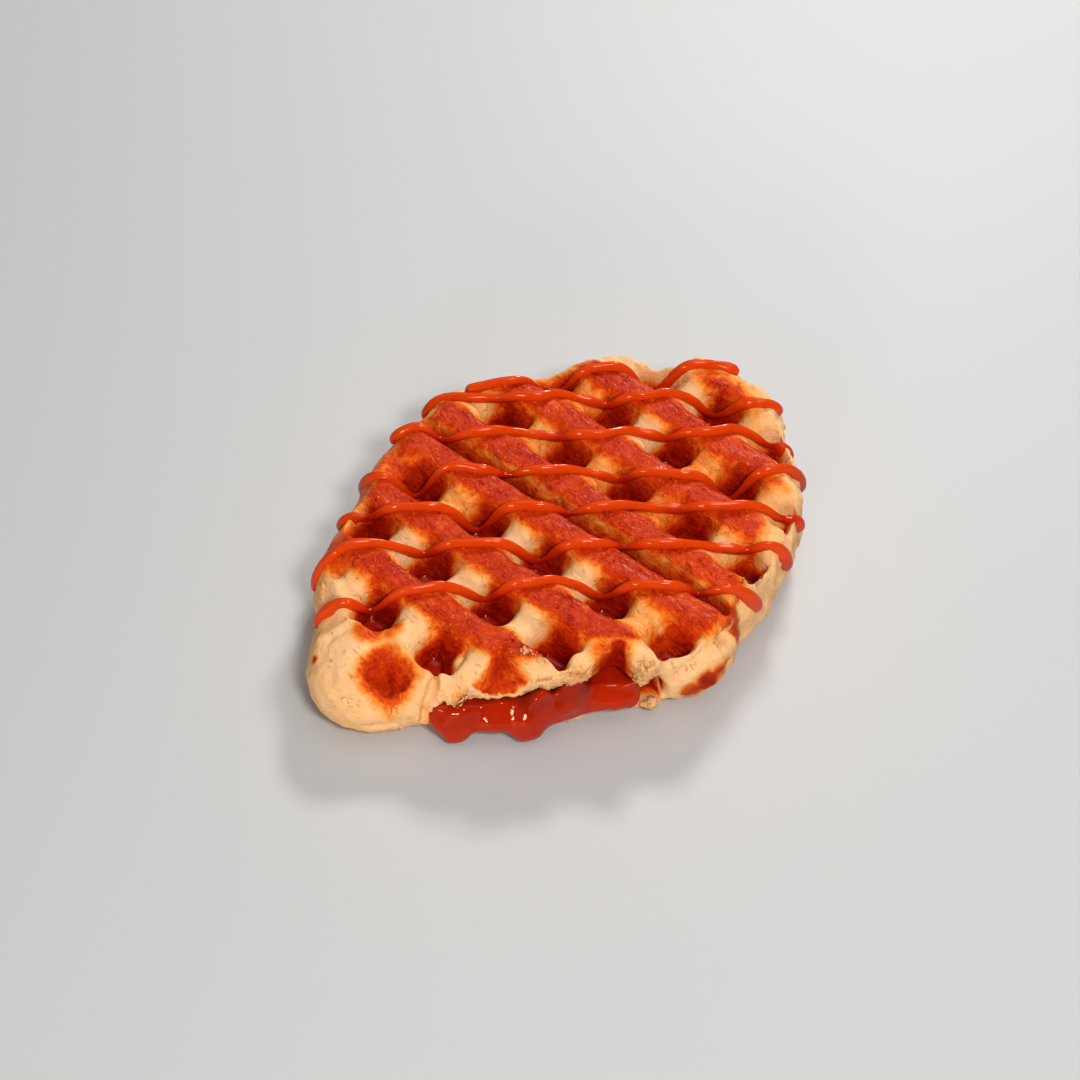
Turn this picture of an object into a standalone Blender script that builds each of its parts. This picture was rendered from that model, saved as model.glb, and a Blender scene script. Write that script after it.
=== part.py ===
"""A croffle: croissant dough baked in a waffle iron, split along one side over its caramel filling.

It lies on its base, with its length along X. Its origin is under the middle of its box.
"""

import math

import bmesh
import bpy
import numpy as np
from mathutils import Matrix
from mathutils.geometry import delaunay_2d_cdt

# All driving dimensions are in millimetres.
MM = 0.001

# The middle of the outline's box, which is moved to the origin when all is built.
MIDDLE = (-1.3, 0.15)

# The waffle lattice. Main ridges run along Y, and lower cross ridges run along X.
PITCH = 16.25
RIDGE_TOP = 19.0
POCKET_FLOOR = 9.2
BASE_CEILING = 5.6
BASE_RIM_MARGIN = 2.0
BASE_SOLID_FILL = 0.86
BASE_GROOVE_SHARE = 0.4
RIDGE_FLAT = 2.4
RIDGE_ROUND = 3.3
RIDGE_FOOT = 5.0
ROUND_SHARE = 0.9
CROSS_SAG = 2.4
LEAN_X = 0.0375
LEAN_Y = 0.01

# A narrow groove divides the two halves of the iron, between two main ridges.
GROOVE_X = 0.3
GROOVE_HALF = 5.4
CROSS_Y = 4.0

# The baked outline at its widest line, anticlockwise from the right end.
OUTLINE = (
    (61.9, -1.7), (62.2, 4.5), (59.5, 9.6), (50.8, 13.9), (48.7, 21.1), (44.6, 26.0), (38.4, 29.8),
    (31.4, 32.3), (27.2, 36.2), (22.7, 39.2), (17.9, 40.2), (13.3, 44.0), (7.4, 44.5), (1.0, 43.7),
    (-5.6, 43.7), (-16.8, 41.4), (-25.5, 37.7), (-34.3, 34.8), (-43.8, 31.0), (-50.8, 24.0),
    (-57.5, 19.7), (-63.4, 14.8), (-65.6, 8.4), (-63.8, 1.4), (-59.0, -3.9), (-53.8, -7.4),
    (-49.4, -11.6), (-43.6, -17.4), (-38.0, -22.8), (-31.6, -26.6), (-25.6, -29.4), (-21.2, -34.2),
    (-17.1, -38.0), (-11.2, -43.2), (-5.0, -45.6), (1.3, -44.3), (6.0, -42.8), (12.0, -42.4),
    (21.4, -41.2), (27.9, -39.3), (37.0, -35.8), (42.0, -31.8), (47.4, -27.5), (52.4, -20.8),
    (59.2, -14.0), (61.3, -8.4),
)
OUTLINE_STEPS = 3

# The rounded side of the dough.
WIDEST_HEIGHT = 7.0
SHOULDER = 7.0
UNDER_SHOULDER = 4.6
SIDE_ANGLES = (42.0, 22.0, 0.0, -32.0, -62.0)
RIM_FADE = (2.2, 6.0)
RING_CLEARANCE = 1.1
CROWN_WAVER = 0.35
BUN_WAVER = 0.5

# The puffed end with one shallow pocket.
LOBE_EDGE = (-46.4, -50.6)
LOBE_TOP = 15.6
LOBE_SHOULDER = 13.0
LOBE_POCKET = (-56.0, -1.4)
LOBE_POCKET_HALF = 5.0
LOBE_POCKET_DEPTH = 5.2

# The split along the front left side, by bearing from the middle, and what shows in it.
SPLIT_BEARING = (-171.5, -113.5)
SPLIT_FADE = 5.0
LIP_TOP = 14.6
LIP_SHOULDER = 5.0
LIP_FADE = 0.2
LIP_INSET = 0.9
LIP_JAG = 0.7
LEAST_LIP = 0.5
LOWER_LIP = 4.2

# The torn end of a ridge juts out, and the split gapes higher under it: bearing, width, rise and reach.
NOSES = (
    (-166.0, 3.6, 1.6, 0.4),
    (-157.0, 3.4, 1.2, 0.0),
    (-147.2, 3.6, 4.6, 0.6),
    (-138.6, 4.4, 5.8, 2.0),
    (-119.0, 3.4, 4.2, 2.4),
)

# The two pockets that the split cuts open: middle along and across, half width and floor.
CUT_POCKETS = ((-43.6, -18.6, 4.9, 11.6), (-28.6, -35.2, 5.0, 11.8))
CUT_POCKET_SLOPE = (0.45, 1.0)
CUT_POCKET_GRID = (-1.0, -0.72, -0.45, 0.0, 0.45, 0.72, 1.0)
CUT_POCKET_CLEAR = 0.6

# The caramel that shows in the split, and its thin core through the length of the dough.
FILLING_GAP = 0.5
FILLING_RUN = (-170.5, -121.0)
FILLING_STATIONS = 26
FOOT_CLEAR = 0.4
FILLING_DEPTH = 12.5
FILLING_BULGE = 1.6
FILLING_WAVER = 0.35
DRIPS = ((-165.2, 3.2, 2.6), (-150.2, 3.6, 3.6))
CORE_ROW = -12.3
CORE_HEIGHT = 6.7
CORE_HALF = (1.5, 1.9)
CORE_RUN = (-38.0, 49.0)
HOLE_CENTRE = (-17.6, -36.2, 6.2)
HOLE_RADIUS = 2.6

# Each line of drizzle: where it starts and ends, and how far it bows to one side.
DRIZZLE = (
    ((17.4, 40.8), (61.4, 1.2), -1.2),
    ((4.2, 44.2), (60.6, -12.6), -1.2),
    ((-5.0, 44.2), (52.0, -22.4), -2.4),
    ((-19.2, 41.4), (45.8, -30.2), -2.8),
    ((-31.0, 36.8), (37.4, -36.0), -2.2),
    ((-42.4, 32.6), (27.2, -40.2), -2.6),
    ((-52.4, 23.8), (14.2, -42.8), -2.0),
)
DRIZZLE_RADIUS = 1.35
DRIZZLE_DROP = 1.8
DRIZZLE_SIDES = 6
DRIZZLE_STEP = 2.7
DRIZZLE_SPAN = 3.4
DRIZZLE_SEAT = 0.35
DRIZZLE_HANG = 5.5
DRIZZLE_HANG_DEPTH = (2.6, -1.4)
DRIZZLE_END = 0.1
TIP_SHARE = 0.6


def clear_scene():
    for thing in list(bpy.data.objects):
        bpy.data.objects.remove(thing, do_unlink=True)


def material(name, colour, roughness):
    """A plain finish: a colour and a roughness."""
    made = bpy.data.materials.new(name)
    made.use_nodes = True
    shader = made.node_tree.nodes["Principled BSDF"]
    shader.inputs["Base Color"].default_value = (*colour, 1.0)
    shader.inputs["Roughness"].default_value = roughness
    shader.inputs["Metallic"].default_value = 0.0
    made.diffuse_color = (*colour, 1.0)
    return made


def smooth(low, high, value):
    """0 below low, 1 above high, with a smooth rise between. It falls when low is above high."""
    share = np.clip((np.asarray(value, float) - low) / (high - low), 0.0, 1.0)
    return share * share * (3.0 - 2.0 * share)


def waver(x, y, seed):
    """A slow wander between -1 and 1, the same on each run."""
    a, b, c = 0.11 + 0.013 * seed, 0.17 - 0.009 * seed, 1.7 * seed
    first = np.sin(a * x + b * y + c)
    second = np.sin(b * x - 1.6 * a * y + 2.3 * c)
    third = np.sin(2.1 * b * y + c)
    return (first + second + third) / 3.0


def curve_through(knots, steps):
    """Points on a closed smooth curve through the knots (Catmull-Rom)."""
    knots = np.array(knots, float)
    before, after, beyond = np.roll(knots, 1, 0), np.roll(knots, -1, 0), np.roll(knots, -2, 0)
    rows = []
    for step in range(steps):
        t = step / steps
        rows.append(
            0.5 * (2 * knots + (after - before) * t
                   + (2 * before - 5 * knots + 4 * after - beyond) * t * t
                   + (3 * knots - before - 3 * after + beyond) * t ** 3)
        )
    return np.stack(rows, axis=1).reshape(-1, 2)


def outward(ring):
    """The outward direction at each point of an anticlockwise ring."""
    along = np.roll(ring, -1, 0) - np.roll(ring, 1, 0)
    along /= np.linalg.norm(along, axis=1)[:, None]
    return np.stack([along[:, 1], -along[:, 0]], axis=1)


EDGE = curve_through(OUTLINE, OUTLINE_STEPS)


def edge_depth(x, y):
    """How far inside the outline each point lies, and below 0 outside it."""
    points = np.stack([np.ravel(x), np.ravel(y)], axis=1)
    start, end = EDGE, np.roll(EDGE, -1, 0)
    side = end - start
    reach = points[:, None, :] - start[None]
    share = np.clip((reach * side).sum(2) / (side * side).sum(1), 0.0, 1.0)
    distance = np.linalg.norm(reach - share[:, :, None] * side, axis=2).min(1)
    crosses = (start[:, 1] > points[:, 1:2]) != (end[:, 1] > points[:, 1:2])
    rise = np.where(np.abs(side[:, 1]) < 1e-9, 1e-9, side[:, 1])
    meets = start[:, 0] + (points[:, 1:2] - start[:, 1]) * side[:, 0] / rise
    inside = (crosses & (points[:, 0:1] < meets)).sum(1) % 2 == 1
    return np.where(inside, distance, -distance).reshape(np.shape(x))


def bearing(x, y):
    return np.degrees(np.arctan2(y, x))


def split_share(x, y):
    """1 along the split side, 0 elsewhere."""
    angle = bearing(x, y)
    first, last = SPLIT_BEARING
    return smooth(first, first + SPLIT_FADE, angle) * smooth(last, last - SPLIT_FADE, angle)


def nose_share(angle):
    """For each torn end of a ridge, 1 at its middle and 0 away from it."""
    return [np.exp(-((angle - nose[0]) / nose[1]) ** 2) for nose in NOSES]


def nose_rise(angle):
    """How much higher the split gapes under the torn ends of the ridges."""
    return np.max([nose[2] * share for nose, share in zip(NOSES, nose_share(angle))], axis=0)


def nose_reach(angle):
    """How far the torn ends of the ridges jut out."""
    return np.max([nose[3] * share for nose, share in zip(NOSES, nose_share(angle))], axis=0)


def lobe_share(x, y):
    """1 in the puffed end, 0 elsewhere."""
    return smooth(LOBE_EDGE[0], LOBE_EDGE[1], x + LEAN_X * y)


def cut_pocket_share(x, y, pocket):
    """1 over the floor of a pocket that the split cuts open, 0 outside its rim."""
    along, across, half, _ = pocket
    reach = np.maximum(np.abs(x + LEAN_X * y - along), np.abs(y + LEAN_Y * x - across)) / half
    return 1.0 - smooth(CUT_POCKET_SLOPE[0], CUT_POCKET_SLOPE[1], reach)


def ridge_share(distance):
    """The height of a ridge as a share, by the distance from its middle."""
    return np.interp(distance, (0.0, RIDGE_FLAT, RIDGE_ROUND, RIDGE_FOOT), (1.0, 1.0, ROUND_SHARE, 0.0))


def lattice(x, y):
    """The distance to the nearest main ridge and cross ridge, and whether this is the groove."""
    along, across = x + LEAN_X * y, y + LEAN_Y * x
    half = np.abs(along - GROOVE_X) - GROOVE_HALF
    main = np.where(half < 0, -half, np.abs((half + PITCH / 2) % PITCH - PITCH / 2))
    cross = np.abs((across - CROSS_Y + PITCH / 2) % PITCH - PITCH / 2)
    return main, cross, half < 0


def rounding(depth, reach):
    """A quarter round: 0 at the edge, 1 from the reach inwards."""
    share = 1.0 - np.clip(depth / reach, 0.0, 1.0)
    return np.sqrt(np.clip(1.0 - share * share, 0.0, 1.0))


def lattice_share(x, y, sag):
    """The lattice as a share: 0 at a pocket's floor and 1 on a main ridge."""
    main, cross, groove = lattice(x, y)
    middle = 1.0 - smooth(RIDGE_ROUND, PITCH / 2, main)
    crossing = ridge_share(cross) * (1.0 - sag * (1.0 - middle))
    return np.maximum(ridge_share(main), np.where(groove, 0.0, crossing))


def top_height(x, y):
    """The upper surface inside the outline."""
    depth = edge_depth(x, y)
    split, lobe = split_share(x, y), lobe_share(x, y)
    rim = WIDEST_HEIGHT + (LIP_TOP - WIDEST_HEIGHT) * split * (1.0 - lobe)
    reach = SHOULDER + (LIP_SHOULDER - SHOULDER) * split
    crown = RIDGE_TOP + CROWN_WAVER * waver(x, y, 1)
    cover = rim + (crown - rim) * rounding(depth, reach)
    share = lattice_share(x, y, CROSS_SAG / (RIDGE_TOP - POCKET_FLOOR))
    fade = 1.0 + (LIP_FADE - 1.0) * split
    share = 1.0 - (1.0 - share) * smooth(RIM_FADE[0] * fade, RIM_FADE[1] * fade, depth)
    waffle = POCKET_FLOOR + (cover - POCKET_FLOOR) * share
    waffle = np.where(cover < POCKET_FLOOR, cover, waffle)
    for pocket in CUT_POCKETS:
        waffle += (np.minimum(waffle, pocket[3]) - waffle) * cut_pocket_share(x, y, pocket)
    puff = LOBE_TOP - WIDEST_HEIGHT + BUN_WAVER * waver(x, y, 3)
    bun = WIDEST_HEIGHT + puff * rounding(depth, LOBE_SHOULDER)
    dip_x = np.abs(x + LEAN_X * y - LOBE_POCKET[0]) / LOBE_POCKET_HALF
    dip_y = np.abs(y + LEAN_Y * x - LOBE_POCKET[1]) / LOBE_POCKET_HALF
    bun -= LOBE_POCKET_DEPTH * (1.0 - smooth(0.45, 1.0, np.maximum(dip_x, dip_y)))
    return waffle + (bun - waffle) * lobe


def base_height(x, y):
    """The underside inside the outline. It stays solid under the split and under the puffed end."""
    depth = edge_depth(x, y)
    share = 1.0 - lattice_share(x, y, 0.0)
    solid = np.maximum(lobe_share(x, y), split_zone(x, y))
    share *= smooth(RIM_FADE[0] + BASE_RIM_MARGIN, RIM_FADE[1] + BASE_RIM_MARGIN, depth)
    share *= 1.0 - BASE_SOLID_FILL * solid
    _, _, groove = lattice(x, y)
    share = np.where(groove, BASE_GROOVE_SHARE * share, share)
    return WIDEST_HEIGHT * (1.0 - rounding(depth, UNDER_SHOULDER)) + BASE_CEILING * share


def split_zone(x, y):
    """1 in the dough behind the split, as far in as the filling spreads."""
    depth = edge_depth(x, y)
    return split_share(x, y) * smooth(FILLING_DEPTH + 7.0, FILLING_DEPTH + 3.0, depth)


def side_rings():
    """The rings of the rounded side, from the upper one to the lower one, as points in space."""
    out = outward(EDGE)
    split = split_share(EDGE[:, 0], EDGE[:, 1])
    lobe = lobe_share(EDGE[:, 0], EDGE[:, 1])
    angle = bearing(EDGE[:, 0], EDGE[:, 1])
    lip = LIP_INSET * (1.0 - np.max(nose_share(angle), axis=0)) - nose_reach(angle)
    lip += LIP_JAG * np.sin(np.arange(len(EDGE)) * 2.4)
    lip_place = EDGE - out * np.maximum(lip, LEAST_LIP)[:, None]
    lip_rise = top_height(lip_place[:, 0], lip_place[:, 1]) - LOWER_LIP
    rings = []
    for angle in SIDE_ANGLES:
        turn = math.radians(abs(angle))
        if angle >= 0:
            reach = SHOULDER + (LOBE_SHOULDER - SHOULDER) * lobe
            crown = RIDGE_TOP + (LOBE_TOP - RIDGE_TOP) * lobe
            inset = reach * (1.0 - math.cos(turn))
            height = WIDEST_HEIGHT + (crown - WIDEST_HEIGHT) * math.sin(turn)
            lip_inset = lip * angle / SIDE_ANGLES[0]
            lip_height = LOWER_LIP + lip_rise * angle / SIDE_ANGLES[0]
        else:
            inset = UNDER_SHOULDER * (1.0 - math.cos(turn)) * np.ones(len(EDGE))
            height = WIDEST_HEIGHT * (1.0 - math.sin(turn)) * np.ones(len(EDGE))
            lip_inset = 0.25 - 0.02 * angle
            lip_height = LOWER_LIP * (1.0 - math.sin(turn))
        inset = inset + (lip_inset - inset) * split
        height = height + (lip_height - height) * split
        ring = EDGE - out * inset[:, None]
        rings.append(np.column_stack([ring, height]))
    return rings


def lattice_lines(centres, offsets, low, high):
    lines = sorted(centre + offset for centre in centres for offset in offsets)
    kept = [line for line in lines if low < line < high]
    return np.array(kept)


def lattice_points(offsets, ring, clearance):
    """Points where the lines of the lattice cross, inside a ring and clear of it."""
    turns = np.arange(6)
    right = GROOVE_X + GROOVE_HALF + PITCH * turns
    left = 2 * GROOVE_X - right
    columns = lattice_lines(np.concatenate([left, right]), offsets, -70.0, 70.0)
    groove = np.abs(columns - GROOVE_X) < GROOVE_HALF - RIDGE_FOOT + 0.2
    columns = np.append(columns[~groove], GROOVE_X)
    rows = lattice_lines(CROSS_Y + PITCH * np.arange(-4, 4), offsets, -50.0, 50.0)
    along, across = (grid.ravel() for grid in np.meshgrid(columns, rows))
    for middle_x, middle_y, half, _ in CUT_POCKETS:
        clear = np.maximum(np.abs(along - middle_x), np.abs(across - middle_y)) > half + CUT_POCKET_CLEAR
        extra = [grid.ravel() * half for grid in np.meshgrid(CUT_POCKET_GRID, CUT_POCKET_GRID)]
        along = np.append(along[clear], middle_x + extra[0])
        across = np.append(across[clear], middle_y + extra[1])
    y = across - LEAN_Y * along
    x = along - LEAN_X * y
    keep = edge_depth(x, y) > 1.0
    x, y = x[keep], y[keep]
    gap = np.stack([x, y], axis=1)[:, None, :] - ring[None, :, :2]
    side = np.roll(ring[:, :2], -1, 0) - ring[:, :2]
    normal = outward(ring[:, :2])
    nearest = np.linalg.norm(gap, axis=2).argmin(1)
    inward = -(gap[np.arange(len(x)), nearest] * normal[nearest]).sum(1)
    step = np.linalg.norm(side, axis=1).mean()
    near = np.linalg.norm(gap, axis=2).min(1)
    keep = (inward > clearance) & ((near > clearance) | (near > step))
    return np.stack([x[keep], y[keep]], axis=1)


def sheet(ring, points, height):
    """Triangles that fill a ring, through the points within it, set to a height."""
    count = len(ring)
    flat = [tuple(p) for p in np.concatenate([ring[:, :2], points])]
    placed, _, faces, origins, _, _ = delaunay_2d_cdt(flat, [], [list(range(count))], 1, 1e-6)
    order = [source[0] for source in origins]
    placed = np.array([tuple(p) for p in placed])
    z = height(placed[:, 0], placed[:, 1])
    for at, source in enumerate(order):
        if source < count:
            placed[at] = ring[source, :2]
            z[at] = ring[source, 2]
    return np.column_stack([placed, z]), order, faces


def dough_mesh():
    """One closed surface: the waffled top, the rounded side and the waffled base."""
    bm = bmesh.new()
    rings = side_rings()
    top_offsets = (0.0, RIDGE_FLAT, RIDGE_ROUND, RIDGE_FOOT, -RIDGE_FLAT, -RIDGE_ROUND, -RIDGE_FOOT)
    base_offsets = (RIDGE_FLAT, RIDGE_FOOT, -RIDGE_FLAT, -RIDGE_FOOT)
    ring_verts = [[bm.verts.new(point * MM) for point in ring] for ring in rings]
    for upper, lower in zip(ring_verts, ring_verts[1:]):
        for at in range(len(upper)):
            after = (at + 1) % len(upper)
            bm.faces.new((upper[at], lower[at], lower[after], upper[after]))
    for ring, verts, offsets, height in (
        (rings[0], ring_verts[0], top_offsets, top_height),
        (rings[-1], ring_verts[-1], base_offsets, base_height),
    ):
        inner = lattice_points(offsets, ring, RING_CLEARANCE)
        placed, order, faces = sheet(ring, inner, height)
        used = {}
        for at, source in enumerate(order):
            used[at] = verts[source] if source < len(ring) else bm.verts.new(placed[at] * MM)
        for face in faces:
            corners = [used[at] for at in face]
            bm.faces.new(corners if height is top_height else corners[::-1])
    bmesh.ops.triangulate(bm, faces=bm.faces)
    bmesh.ops.recalc_face_normals(bm, faces=bm.faces)
    return bm


def tube(bm, path, radii, sides):
    """A closed tube with pointed ends along a path, one radius for each point of it."""
    path = np.array(path, float)
    along = np.gradient(path, axis=0)
    along /= np.linalg.norm(along, axis=1)[:, None]
    flat = np.column_stack([-along[:, 1], along[:, 0], np.zeros(len(along))])
    flat /= np.linalg.norm(flat, axis=1)[:, None]
    upright = np.cross(along, flat)
    rings = []
    for centre, a, b, radius in zip(path, flat, upright, radii):
        wide, high = radius if isinstance(radius, tuple) else (radius, radius)
        turns = [2 * math.pi * (side + 0.5) / sides for side in range(sides)]
        ring = [centre + a * wide * math.cos(t) + b * high * math.sin(t) for t in turns]
        rings.append([bm.verts.new(point * MM) for point in ring])
    for lower, upper in zip(rings, rings[1:]):
        for at in range(sides):
            after = (at + 1) % sides
            bm.faces.new((lower[at], lower[after], upper[after], upper[at]))
    cap = max(max(r) if isinstance(r, tuple) else r for r in (radii[0], radii[-1])) * TIP_SHARE
    for ring, centre, way in ((rings[0], path[0], -along[0]), (rings[-1], path[-1], along[-1])):
        tip = bm.verts.new((centre + way * cap) * MM)
        for at in range(sides):
            bm.faces.new((ring[at], ring[(at + 1) % sides], tip))
    bmesh.ops.recalc_face_normals(bm, faces=bm.faces)


def drizzle_path(start, end, bow):
    """A thread of drizzle: it rides over the ridges, sags into the pockets and hangs at its ends."""
    start, end = np.array(start), np.array(end)
    length = np.linalg.norm(end - start)
    count = round(length / DRIZZLE_STEP)
    share = np.linspace(0.0, 1.0, count + 1)
    way = (end - start) / length
    aside = np.array([-way[1], way[0]])
    line = start + np.outer(share, end - start) + np.outer(bow * np.sin(math.pi * share), aside)
    spread = np.linspace(-DRIZZLE_SPAN, DRIZZLE_SPAN, 9)
    x = line[:, 0, None] + way[0] * spread
    y = line[:, 1, None] + way[1] * spread
    near = np.where(edge_depth(x, y) > 0, top_height(x, y), WIDEST_HEIGHT)
    mean = near.mean(1)
    own = near[:, len(spread) // 2]
    height = np.maximum(mean, own) + DRIZZLE_SEAT * DRIZZLE_RADIUS
    hang = smooth(DRIZZLE_HANG_DEPTH[0], DRIZZLE_HANG_DEPTH[1], edge_depth(line[:, 0], line[:, 1]))
    ends = (share < DRIZZLE_END) | (share > 1.0 - DRIZZLE_END)
    height -= DRIZZLE_HANG * hang * np.where(ends, 1.0, 0.0)
    radii = np.full(count + 1, DRIZZLE_RADIUS)
    radii[[0, -1]] = DRIZZLE_DROP
    return np.column_stack([line, height]), list(radii)


def filling_sections(grow):
    """Sections of the caramel along the split, from deep in the dough out to its bulge over the lower lip."""
    angles = np.unwrap(np.radians(bearing(EDGE[:, 0], EDGE[:, 1])))
    order = np.argsort(np.degrees(angles) % 360)
    known = (np.degrees(angles) % 360)[order]
    out = outward(EDGE)
    for _ in range(4):
        out = (np.roll(out, 1, 0) + out * 2 + np.roll(out, -1, 0)) / 4
    sections = []
    for station in np.linspace(0.0, 1.0, FILLING_STATIONS):
        angle = FILLING_RUN[0] + (FILLING_RUN[1] - FILLING_RUN[0]) * station
        place = np.array([np.interp(angle % 360, known, EDGE[order, axis]) for axis in (0, 1)])
        way = np.array([np.interp(angle % 360, known, out[order, axis]) for axis in (0, 1)])
        way /= np.linalg.norm(way)
        full = math.sin(math.pi * min(max(station, 0.03), 0.97)) ** 0.35
        falls = [math.exp(-((angle - where) / wide) ** 2) for where, wide, _ in DRIPS]
        fall = max(falls)
        reach = DRIPS[falls.index(fall)][2]
        bulge = FILLING_BULGE * full + FILLING_WAVER * math.sin(9.0 * station)
        depth = FILLING_DEPTH * (0.45 + 0.55 * full)
        rise = float(nose_rise(angle)) * full
        inner = [(-depth, 8.1), (-0.5 * depth, 8.4), (-3.2, 8.5), (-1.0, 8.6 + 0.8 * rise)]
        under = [(-0.5 * depth, 3.4), (-depth, 6.6)]
        plain = [
            (0.5 * bulge, 8.4 + rise), (bulge, 7.0 + 0.8 * rise), (bulge + 0.5, 5.3 + 0.3 * rise),
            (bulge + 0.3, 3.4), (0.5 * bulge, 2.2), (-0.6, 2.3),
        ]
        hanging = [
            (0.35 * reach, 8.3 + rise), (0.75 * reach, 6.8 + 0.6 * rise), (reach, 4.6),
            (reach + 0.3, 1.9), (reach - 0.6, FOOT_CLEAR), (0.0, 1.0),
        ]
        outer = np.array(plain) + (np.array(hanging) - np.array(plain)) * fall
        profile = np.concatenate([inner, outer, under])
        middle_in, middle_height = -0.2, 6.0
        if grow:
            sides = np.roll(profile, -1, 0) - np.roll(profile, 1, 0)
            sides /= np.linalg.norm(sides, axis=1)[:, None]
            profile = profile + np.stack([-sides[:, 1], sides[:, 0]], axis=1) * grow
        points = np.column_stack([place + np.outer(profile[:, 0], way), profile[:, 1]])
        tip = np.array([*(place + middle_in * way), middle_height])
        sections.append((points, tip))
    return sections


def filling_wedge(bm, grow):
    """The caramel behind and in the split, with its drips, grown all round for the hollow that it lies in."""
    sections = filling_sections(grow)
    rings = [[bm.verts.new(point * MM) for point in points] for points, _ in sections]
    count = len(rings[0])
    for lower, upper in zip(rings, rings[1:]):
        for at in range(count):
            after = (at + 1) % count
            bm.faces.new((lower[at], lower[after], upper[after], upper[at]))
    ends = ((rings[0], sections[1], sections[0]), (rings[-1], sections[-2], sections[-1]))
    for ring, inner, end in ends:
        way = end[1] - inner[1]
        way /= np.linalg.norm(way)
        tip = bm.verts.new((end[1] + way * (0.9 + 1.6 * grow)) * MM)
        for at in range(count):
            bm.faces.new((ring[at], ring[(at + 1) % count], tip))
    bmesh.ops.recalc_face_normals(bm, faces=bm.faces)


def filling_core(bm, grow):
    """The thin core of caramel that runs the length of the croffle, inside one cross ridge."""
    wide, high = CORE_HALF[0] + grow * 1.1, CORE_HALF[1] + grow * 1.1
    along = np.linspace(CORE_RUN[0], CORE_RUN[1] + grow, 14)
    across = CORE_ROW - LEAN_Y * along
    path = np.column_stack([along, across, np.full(len(along), CORE_HEIGHT)])
    tube(bm, path, [(wide, high)] * len(path), 8)


def new_object(name, bm, finish):
    mesh = bpy.data.meshes.new(name)
    bm.to_mesh(mesh)
    bm.free()
    made = bpy.data.objects.new(name, mesh)
    bpy.context.scene.collection.objects.link(made)
    if finish:
        mesh.materials.append(finish)
    return made


def combine(target, operation, helpers):
    """One Boolean on a collection of helper objects, applied, with the helpers then removed."""
    group = bpy.data.collections.new("helpers")
    bpy.context.scene.collection.children.link(group)
    for helper in helpers:
        bpy.context.scene.collection.objects.unlink(helper)
        group.objects.link(helper)
    modifier = target.modifiers.new(operation.title(), "BOOLEAN")
    modifier.operation = operation
    modifier.operand_type = "COLLECTION"
    modifier.collection = group
    modifier.solver = "EXACT"
    graph = bpy.context.evaluated_depsgraph_get()
    result = bpy.data.meshes.new_from_object(target.evaluated_get(graph))
    target.modifiers.remove(modifier)
    target.data = result
    for helper in helpers:
        bpy.data.objects.remove(helper, do_unlink=True)
    bpy.data.collections.remove(group)


def make_filling(finish):
    bm = bmesh.new()
    filling_wedge(bm, 0.0)
    filling = new_object("filling", bm, finish)
    bm = bmesh.new()
    filling_core(bm, 0.0)
    combine(filling, "UNION", [new_object("core", bm, finish)])
    filling.data.shade_smooth()
    return filling


def make_pastry(finish):
    pastry = new_object("pastry", dough_mesh(), finish)
    cutters = []
    for name, shape in (("wedge_space", filling_wedge), ("core_space", filling_core)):
        bm = bmesh.new()
        shape(bm, FILLING_GAP)
        cutters.append(new_object(name, bm, None))
    bm = bmesh.new()
    bmesh.ops.create_icosphere(bm, subdivisions=1, radius=HOLE_RADIUS * MM)
    bmesh.ops.translate(bm, verts=bm.verts, vec=[value * MM for value in HOLE_CENTRE])
    cutters.append(new_object("torn_hole", bm, None))
    combine(pastry, "DIFFERENCE", cutters)
    threads = []
    for number, (start, end, bow) in enumerate(DRIZZLE, 1):
        bm = bmesh.new()
        path, radii = drizzle_path(start, end, bow)
        tube(bm, path, radii, DRIZZLE_SIDES)
        threads.append(new_object(f"drizzle_{number}", bm, finish))
    combine(pastry, "UNION", threads)
    pastry.data.shade_smooth()
    pastry.data.set_sharp_from_angle(angle=math.radians(40))
    return pastry


def main():
    clear_scene()
    crust = material("Baked dough", (0.72, 0.36, 0.14), 0.55)
    caramel = material("Caramel filling", (0.36, 0.035, 0.01), 0.18)
    for made in (make_pastry(crust), make_filling(caramel)):
        made.data.transform(Matrix.Translation((-MIDDLE[0] * MM, -MIDDLE[1] * MM, 0.0)))


main()
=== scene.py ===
import math
from types import SimpleNamespace

import bmesh
import bpy
import numpy as np
from mathutils import Matrix, Vector, kdtree, noise
from mathutils.geometry import delaunay_2d_cdt


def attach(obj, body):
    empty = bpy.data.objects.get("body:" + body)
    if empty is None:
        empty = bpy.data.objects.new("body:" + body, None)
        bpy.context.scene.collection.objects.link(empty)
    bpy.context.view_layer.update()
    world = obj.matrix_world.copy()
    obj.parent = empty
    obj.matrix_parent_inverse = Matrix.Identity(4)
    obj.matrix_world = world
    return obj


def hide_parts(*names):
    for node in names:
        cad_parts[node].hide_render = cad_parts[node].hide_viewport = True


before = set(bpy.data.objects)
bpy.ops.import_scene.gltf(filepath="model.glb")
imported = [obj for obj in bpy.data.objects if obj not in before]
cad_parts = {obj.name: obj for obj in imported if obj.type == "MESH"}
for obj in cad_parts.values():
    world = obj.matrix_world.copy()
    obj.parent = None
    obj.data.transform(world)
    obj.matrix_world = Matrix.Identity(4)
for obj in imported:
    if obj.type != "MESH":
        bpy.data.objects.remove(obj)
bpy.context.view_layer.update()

# The croffle is worked out in millimetres, then moved so that the middle of its box is at the origin.
MM = 0.001
MIDDLE = (-1.3, 0.15)
SEED = 7

# The waffle lattice. Main ridges run along Y, and lower cross ridges run along X. One groove has no cross ridges.
PITCH = 16.25
RIDGE_TOP = 19.0
POCKET_FLOOR = 9.2
CROSS_SAG = 2.4
LEAN_X = 0.0375
LEAN_Y = 0.01
GROOVE_X = 0.3
GROOVE_HALF = 5.4
CROSS_Y = 4.0
CORNER = 4.5

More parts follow.
